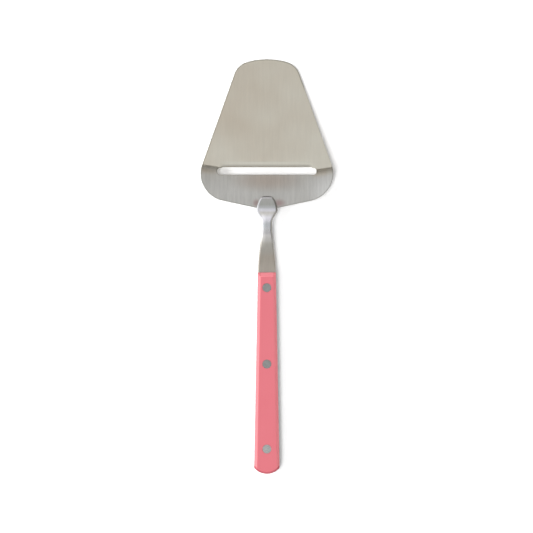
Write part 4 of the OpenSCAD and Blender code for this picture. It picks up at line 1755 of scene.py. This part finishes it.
@dataclass
class Handle:
    """The two scales, with bevelled sides, sloping fronts and a round end.

    Lengths run from the tip in plan. A bevel has a reach and a drop.
    """

    layout: Layout
    front_w: float = 10.7
    end_w: float = 15.0
    end_r: float = 9.8
    side_bevel: Pair = (1.7, 1.4)
    front_bevel: Pair = (2.6, 2.3)
    end_chamfer: float = 1.1
    bevel_blend: float = 0.22
    mark_blend: float = 0.15
    corner_reach: float = 0.4
    rim: float = 0.22
    joint_drop: float = 0.06
    head_room: float = 0.04

    @property
    def end_centre(self) -> float:
        """Distance of the round end's centre from the tip."""
        return self.layout.handle_end - self.end_r

    @property
    def corner_at(self) -> float:
        """Distance of the end's corners from the tip."""
        return self.end_centre + math.sqrt(self.end_r**2 - self.end_w**2 / 4)

    @property
    def widening(self) -> float:
        """Gain of half width for each length along the handle."""
        return (self.end_w - self.front_w) / 2 / (self.corner_at - self.layout.scales_at)

    def straight(self, s: Array) -> Array:
        """Half width between the straight sides at distances from the tip."""
        return self.front_w / 2 + (s - self.layout.scales_at) * self.widening

    def half_width(self, s: float) -> float:
        """Half width of the handle at a distance from the tip."""
        bent = math.sqrt(max(self.end_r**2 - max(s - self.end_centre, 0.0) ** 2, 0.0))
        return min(self.straight(s), bent)

    def stations(self, start: float) -> list[float]:
        """Places of the tang's sections, closer together round the end.

        Args:
            start: The first of them.

        Returns:
            Their distances from the tip.
        """
        straight = np.linspace(start, self.corner_at, 48)
        turn = math.acos((self.corner_at - self.end_centre) / self.end_r)
        bent = self.end_centre + self.end_r * np.cos(np.linspace(turn, 0, 18)[1:])
        return [*straight, *(bent - 0.02)]

    def outline(self) -> Array:
        """Plan of a scale.

        Returns:
            Its points, counter-clockwise.
        """
        start, corner = self.layout.scales_at, self.corner_at
        near, far = self.front_w / 2, self.end_w / 2
        turn = math.asin(far / self.end_r)
        turns = np.linspace(turn, -turn, 60)
        bent = [(self.end_r * math.sin(t), self.end_centre + self.end_r * math.cos(t)) for t in turns]
        left, right = [(near, start), (far, corner)], [(-far, corner), (-near, start)]
        lines = [np.array(line) for line in (left, bent, right, [right[1], left[0]])]
        return Plan.respaced(Plan.softly_joined(lines, self.corner_reach), self._spacing)

    def _spacing(self, u: Array, s: Array) -> Array:
        """Spacing of the outline's points, which lie closer at both ends."""
        start, end = self.layout.scales_at + 3.5, self.corner_at - 3.0
        return np.where((s < start) | (s > end), 0.2, 1.0)

    def insets(self, u: Array, s: Array) -> tuple[Array, Array, Array]:
        """Distances of places in plan from the handle's edges.

        Args:
            u: Places across.
            s: Distances from the tip.

        Returns:
            Their distances from its sides, its front and its round end.
        """
        from_side = (self.straight(s) - np.abs(u)) * math.cos(math.atan(self.widening))
        from_end = self.end_r - np.hypot(u, np.maximum(s - self.end_centre, 0))
        return from_side, s - self.layout.scales_at, from_end

    def top(self, u: Array, s: Array) -> Array:
        """Height of a scale's outer face over its inner one.

        Args:
            u: Places across.
            s: Distances from the tip.

        Returns:
            The heights.
        """
        thick = self.layout.handle_top - self.layout.tang_top
        slopes = (self.side_bevel, self.front_bevel, (self.end_chamfer, self.end_chamfer))
        found = np.full(np.shape(u), thick, float)
        for distance, (reach, drop) in zip(self.insets(u, s), slopes):
            found = soft_min(found, thick - drop * (1 - distance / reach), self.bevel_blend)
        return found

    def rows(self) -> list[Array]:
        """Lines that the mesh follows along the bevels' edges.

        Returns:
            The lines.
        """
        start, corner = self.layout.scales_at, self.corner_at
        offsets = (-0.3, -0.15, 0.0, 0.15, 0.3)
        stretches = ((start, start + 4, 0.25), (start + 4, corner - 4, 1.5), (corner - 4, corner + 3, 0.25))
        places = np.concatenate([np.arange(*stretch) for stretch in stretches])
        found = []
        for off in (*offsets, -0.9):
            inner = self.straight(places) - self.side_bevel[0] - off
            found += [np.column_stack([side * inner, places]) for side in (-1, 1)]
        across = np.arange(-self.front_w / 2, self.front_w / 2 + 0.1, 0.25)
        for off in (*offsets, -1.3, -0.8):
            found.append(np.column_stack([across, np.full(len(across), start + self.front_bevel[0] + off)]))
        turns = np.linspace(-1.1, 1.1, 90)
        for off in (*offsets, -0.6):
            radius = self.end_r - self.end_chamfer - off
            found.append(np.column_stack([radius * np.sin(turns), self.end_centre + radius * np.cos(turns)]))
        return found

    def build(self, side: Side, axes: Sequence[Vector], finish: Material, head_r: float) -> Piece:
        """Makes one dressed scale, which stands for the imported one.

        Args:
            side: The side that the scale is on.
            axes: Axes of the rivets.
            finish: The scales' material.
            head_r: Radius of the rivet heads.

        Returns:
            The piece.
        """
        layout = self.layout
        turns = -np.linspace(0, math.tau, 73)[:-1]
        radius = head_r + self.head_room
        holes = [
            np.column_stack([radius * np.cos(turns), layout.tip_y - axis.y + radius * np.sin(turns)])
            for axis in axes
        ]
        plate = Plate(
            outer=self.outline(),
            holes=holes,
            top=self.top,
            under=lambda u, s: np.zeros(np.shape(u)),
            rows=self.rows() + self._rings_round(holes),
            rim=self.rim,
            under_drop=self.joint_drop,
            grid=2.2,
        )
        if side is Side.UPPER:
            piece = plate.build("upper_handle_scale", lambda p: layout.upright(p, layout.tang_top))
        else:
            piece = plate.build("lower_handle_scale", lambda p: layout.turned_over(p, layout.tang_low))
        self._mark(piece)
        piece.data.materials.append(finish)
        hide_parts(f"{side.name.lower()}_scale")
        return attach(piece, BODY)

    def _mark(self, piece: Piece) -> None:
        """Marks the bevels and the end's chamfer, for the finish's painted highlights and shade.

        Args:
            piece: The scale.
        """
        points = Meshes.points(piece)
        insets = self.insets(points[:, 0], self.layout.tip_y - points[:, 1])
        reaches = (self.side_bevel[0], self.front_bevel[0], self.end_chamfer)
        side, front, end = (
            smoothstep(reach - inset, -self.mark_blend, self.mark_blend)
            for inset, reach in zip(insets, reaches)
        )
        Meshes.mark(piece, "bevel", side * (1 - end))
        Meshes.mark(piece, "front", front * (1 - side))
        Meshes.mark(piece, "chamfer", end)

    @staticmethod
    def _rings_round(holes: Sequence[Array]) -> list[Array]:
        """Lines round the rivet holes, so that the face stays flat up to them."""
        centred = [(hole.mean(axis=0), hole) for hole in holes]
        return [Plan.closed(c + (hole - c) * grow) for c, hole in centred for grow in (1.17, 1.35)]


@dataclass(frozen=True)
class Rivet:
    """A two-part rivet: a pin with a flush head, pressed into a sleeve with another.

    Attributes:
        name: Which of the rivets it is.
        turn: Direction of its grinding lines, in degrees.
        shine: How much lighter its colour is, where 1 is usual.
    """

    name: str
    turn: float
    shine: float
    edge: float = 0.07
    dome: float = 0.015
    head_t: float = 1.1
    end_gap: float = 0.3
    pin_r: float = 1.05
    pin_point: float = 0.15
    sleeve_r: float = 1.7
    pin_room: float = 0.03

    def axis(self) -> Vector:
        """Foot of the rivet's axis, on the table, in millimetres."""
        low, high = packed_box(f"{self.name}_rivet_pin")
        return Vector(((low.x + high.x) / 2, (low.y + high.y) / 2, 0.0))

    def head_r(self) -> float:
        """Radius of the heads."""
        low, high = packed_box(f"{self.name}_rivet_pin")
        return (high.x - low.x) / 2

    def build(self, layout: Layout, finish: Material) -> list[Piece]:
        """Makes both dressed halves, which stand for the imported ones.

        Args:
            layout: Where the pieces lie.
            finish: The rivet's material.

        Returns:
            The pin and the sleeve.
        """
        head, top = self.head_r(), layout.handle_top
        pin_end, sleeve_end = self.head_t + self.end_gap, top - self.head_t - self.end_gap
        pin = [(0.0, pin_end), (self.pin_r - self.pin_point, pin_end)]
        pin += [(self.pin_r, pin_end + self.pin_point)]
        pin += [(r, top - self.head_t) for r in (self.pin_r, head)]
        pin += [*self._edge(head, top, 1), (0.0, top)]
        bore = self.pin_r + self.pin_room
        sleeve = [(0.0, 0.0), *reversed(self._edge(head, 0.0, -1)), (head, self.head_t)]
        sleeve += [(self.sleeve_r, self.head_t), (self.sleeve_r, sleeve_end), (bore, sleeve_end)]
        sleeve += [(bore, self.head_t), (0.0, self.head_t)]
        made = []
        for part, profile in (("pin", pin), ("sleeve", sleeve)):
            piece = Meshes.lathe(f"{self.name}_rivet_{part}_ground", profile, self.axis(), 72)
            piece.data.materials.append(finish)
            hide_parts(f"{self.name}_rivet_{part}")
            made.append(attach(piece, BODY))
        return made

    def _edge(self, head: float, face: float, way: int) -> list[Pair]:
        """The head's broken edge and its faintly domed face.

        Args:
            head: Radius of the head.
            face: Height of its face.
            way: 1 where the head faces up, and -1 where it faces down.

        Returns:
            Radius and height of each point, from the outside in.
        """
        turns = np.linspace(0, math.pi / 2, 4)
        r, z = head - self.edge, face - way * (self.edge + self.dome)
        bent = [(r + self.edge * math.cos(t), z + way * self.edge * math.sin(t)) for t in turns]
        domed = [(head * share, face - way * self.dome * share**2) for share in (0.75, 0.45)]
        return [*bent, *domed]


RIVETS = (Rivet("front", 20.0, 1.04), Rivet("middle", -35.0, 1.0), Rivet("rear", 65.0, 1.4))


@dataclass(frozen=True)
class Lamp:
    """A distant soft light.

    Attributes:
        name: Name of the light.
        towards: The way from the table towards the light.
        spread: Width of the light as seen from the table, in degrees.
        level: Its light on the table, where 1 makes a white look white.
    """

    name: str
    towards: Point
    spread: float
    level: float

    def build(self) -> None:
        """Hangs the lamp. Polished metal mirrors the cards and the room instead of it."""
        towards = Vector(self.towards).normalized()
        light = bpy.data.lights.new(self.name, "SUN")
        light.energy = math.pi * self.level / towards.z
        light.angle = math.radians(self.spread)
        lamp = bpy.data.objects.new(self.name, light)
        lamp.rotation_euler = towards.to_track_quat("Z", "Y").to_euler()
        lamp.visible_glossy = False
        bpy.context.scene.collection.objects.link(lamp)


@dataclass(frozen=True)
class Card:
    """A flat card beside or over the table that only polished surfaces mirror.

    Attributes:
        name: Name of the card.
        centre: Its middle, in metres.
        side, rise: Halves of its sides, in metres.
        level: How bright it is, where 1 is white.
        glows: Whether it shines by itself, or is dull and lit by the lamps.
    """

    name: str
    centre: Point
    side: Point
    rise: Point
    level: float
    glows: bool = True

    def build(self) -> None:
        """Stands the card up."""
        centre, side, rise = (np.array(v) / MM for v in (self.centre, self.side, self.rise))
        corners = [centre + a * side + b * rise for a, b in CORNERS]
        card = Meshes.make(self.name, np.array(corners), [(0, 1, 2, 3)])
        make = Surface(self.name)
        if self.glows:
            shown = make.add("ShaderNodeEmission", {"Strength": self.level})
        else:
            shown = make.add("ShaderNodeBsdfDiffuse", {"Color": (*[self.level] * 3, 1.0)})
        card.data.materials.append(make.show(shown))
        card.visible_camera = False
        card.visible_diffuse = False
        card.visible_shadow = False


@dataclass(frozen=True)
class Studio:
    """The pale table, the plain soft light and the camera.

    Attributes:
        lamps, cards: The lamps, and the cards that the steel mirrors.
        ambient: Light of the room on the table, where 1 makes a white look white.
        floor_colour, floor_half: Colour of the table, and half its side in metres.
        lift: What the table shows beyond its own reflection, so that it is white where it is lit.
        lens: Focal length of the camera.
        image_px, px_mm: Width of the photograph's frame, and real size of a pixel on the slicer.
        middle_height: Height over the table at which a pixel has that size.
        middle_px: Where the slicer's middle lies in the picture, from the picture's own middle.
    """

    lamps: tuple[Lamp, ...] = (
        Lamp("key_light", (-0.19, -0.09, 0.98), 16.0, 0.35),
        Lamp("near_light", (-0.27, -0.46, 0.85), 16.0, 0.28),
        Lamp("side_light", (-0.71, 0.0, 0.71), 18.0, 0.38),
    )
    cards: tuple[Card, ...] = (
        Card("ceiling_card", (0.12, 0.35, 1.25), (0.5, 0.0, 0.0), (0.0, 0.65, 0.0), 0.7),
        Card("left_card", (-1.1, 0.0, 0.12), (0.0, 1.2, 0.0), (0.0, 0.0, 0.12), 2.7),
        Card("left_upper_card", (-1.1, 0.0, 0.72), (0.0, 1.2, 0.0), (0.0, 0.0, 0.48), 1.2),
        Card("right_card", (1.1, -0.2, 0.65), (0.0, 1.4, 0.0), (0.0, 0.0, 0.65), 0.28),
        Card("near_card", (0.0, -1.3, 0.5), (1.0, 0.0, 0.0), (0.0, 0.0, 0.5), 0.4),
        Card("far_card", (0.0, 1.4, 0.45), (1.1, 0.0, 0.0), (0.0, 0.0, 0.45), 0.12),
        Card("far_upper_card", (0.0, 1.4, 1.35), (1.1, 0.0, 0.0), (0.0, 0.0, 0.45), 0.5),
        # A dull card beside the neck that the steel mirrors darker than the table: a stand-in for shade in
        # its reflection.
        Card("neck_shade_card", (0.019, 0.0255, 0.0002), (0.0135, 0.0, 0.0), (0.0, 0.0115, 0.0), 0.5, glows=False),
    )
    ambient: float = 0.44
    floor_colour: Colour = (0.85, 0.85, 0.85)
    lift: float = 0.13
    floor_half: float = 4.0
    lens: float = 200.0
    image_px: float = 533.0
    px_mm: float = 0.5908
    middle_height: float = 4.0
    middle_px: Pair = (0.4, -0.3)

    def build(self) -> None:
        """Builds the whole set."""
        self._world()
        self._table()
        for part in (*self.lamps, *self.cards):
            part.build()
        self._camera()
        bpy.context.scene.view_settings.view_transform = "Standard"

    @staticmethod
    def _seen(make: Nodes) -> Socket:
        """Is 1 for the camera and for what mirrors or passes the background, and 0 for diffuse light."""
        path = make.add("ShaderNodeLightPath").outputs
        return make.math("MAXIMUM", *(path[ray] for ray in SEEN_RAYS))

    def _world(self) -> None:
        """A white surround that lights at the ambient level."""
        world = bpy.data.worlds.new("plain_studio")
        bpy.context.scene.world = world
        world.use_nodes = True
        make = Nodes(world.node_tree)
        background = world.node_tree.nodes["Background"]
        background.inputs["Color"].default_value = (1.0, 1.0, 1.0, 1.0)
        make.join(make.span(self._seen(make), 0.0, 1.0, self.ambient, 1.0), background.inputs["Strength"])

    def _table(self) -> None:
        """The table's top, which keeps the slicer's shadow."""
        half = self.floor_half / MM
        corners = np.array([(a * half, b * half, 0.0) for a, b in CORNERS])
        table = Meshes.make("table_top", corners, [(0, 1, 2, 3)])
        make = Surface("pale_table")
        diffuse = make.add("ShaderNodeBsdfDiffuse", {"Color": (*self.floor_colour, 1.0)})
        strength = make.math("MULTIPLY", self._seen(make), self.lift)
        glow = make.add("ShaderNodeEmission", {"Strength": strength})
        both = make.add("ShaderNodeAddShader", {0: diffuse.outputs[0], 1: glow.outputs[0]})
        table.data.materials.append(make.show(both))

    def _camera(self) -> None:
        """Looks straight down from where the photograph was taken."""
        data = bpy.data.cameras.new("camera")
        data.type = "PERSP"
        data.lens = self.lens
        step = self.px_mm * MM
        distance = self.image_px * step * data.lens / data.sensor_width
        camera = bpy.data.objects.new("camera", data)
        across, along = self.middle_px
        camera.location = (-across * step, along * step, self.middle_height * MM + distance)
        bpy.context.scene.collection.objects.link(camera)
        bpy.context.scene.camera = camera


def report(piece: Piece) -> None:
    """Logs one finished piece."""
    LOG.info("%s: %d faces", piece.name, len(piece.data.polygons))


def main() -> None:
    """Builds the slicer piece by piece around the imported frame."""
    logging.basicConfig(level=logging.INFO, format="%(name)s: %(message)s")
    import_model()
    blade = Blade()
    layout = Layout.read(blade.lead)
    handle = Handle(layout)
    Studio().build()
    effects = Effects()
    axes = [rivet.axis() for rivet in RIVETS]
    report(blade.build(layout, BladeFinish(), effects))
    report(Shank(layout, blade, handle).build(axes, ShankFinish(), effects))
    plastic = PlasticFinish().build(effects)
    for side in Side:
        report(handle.build(side, axes, plastic, RIVETS[0].head_r()))
    for rivet in RIVETS:
        for piece in rivet.build(layout, RivetFinish().build(effects, rivet.turn, rivet.shine)):
            report(piece)


if __name__ == "__main__":
    main()
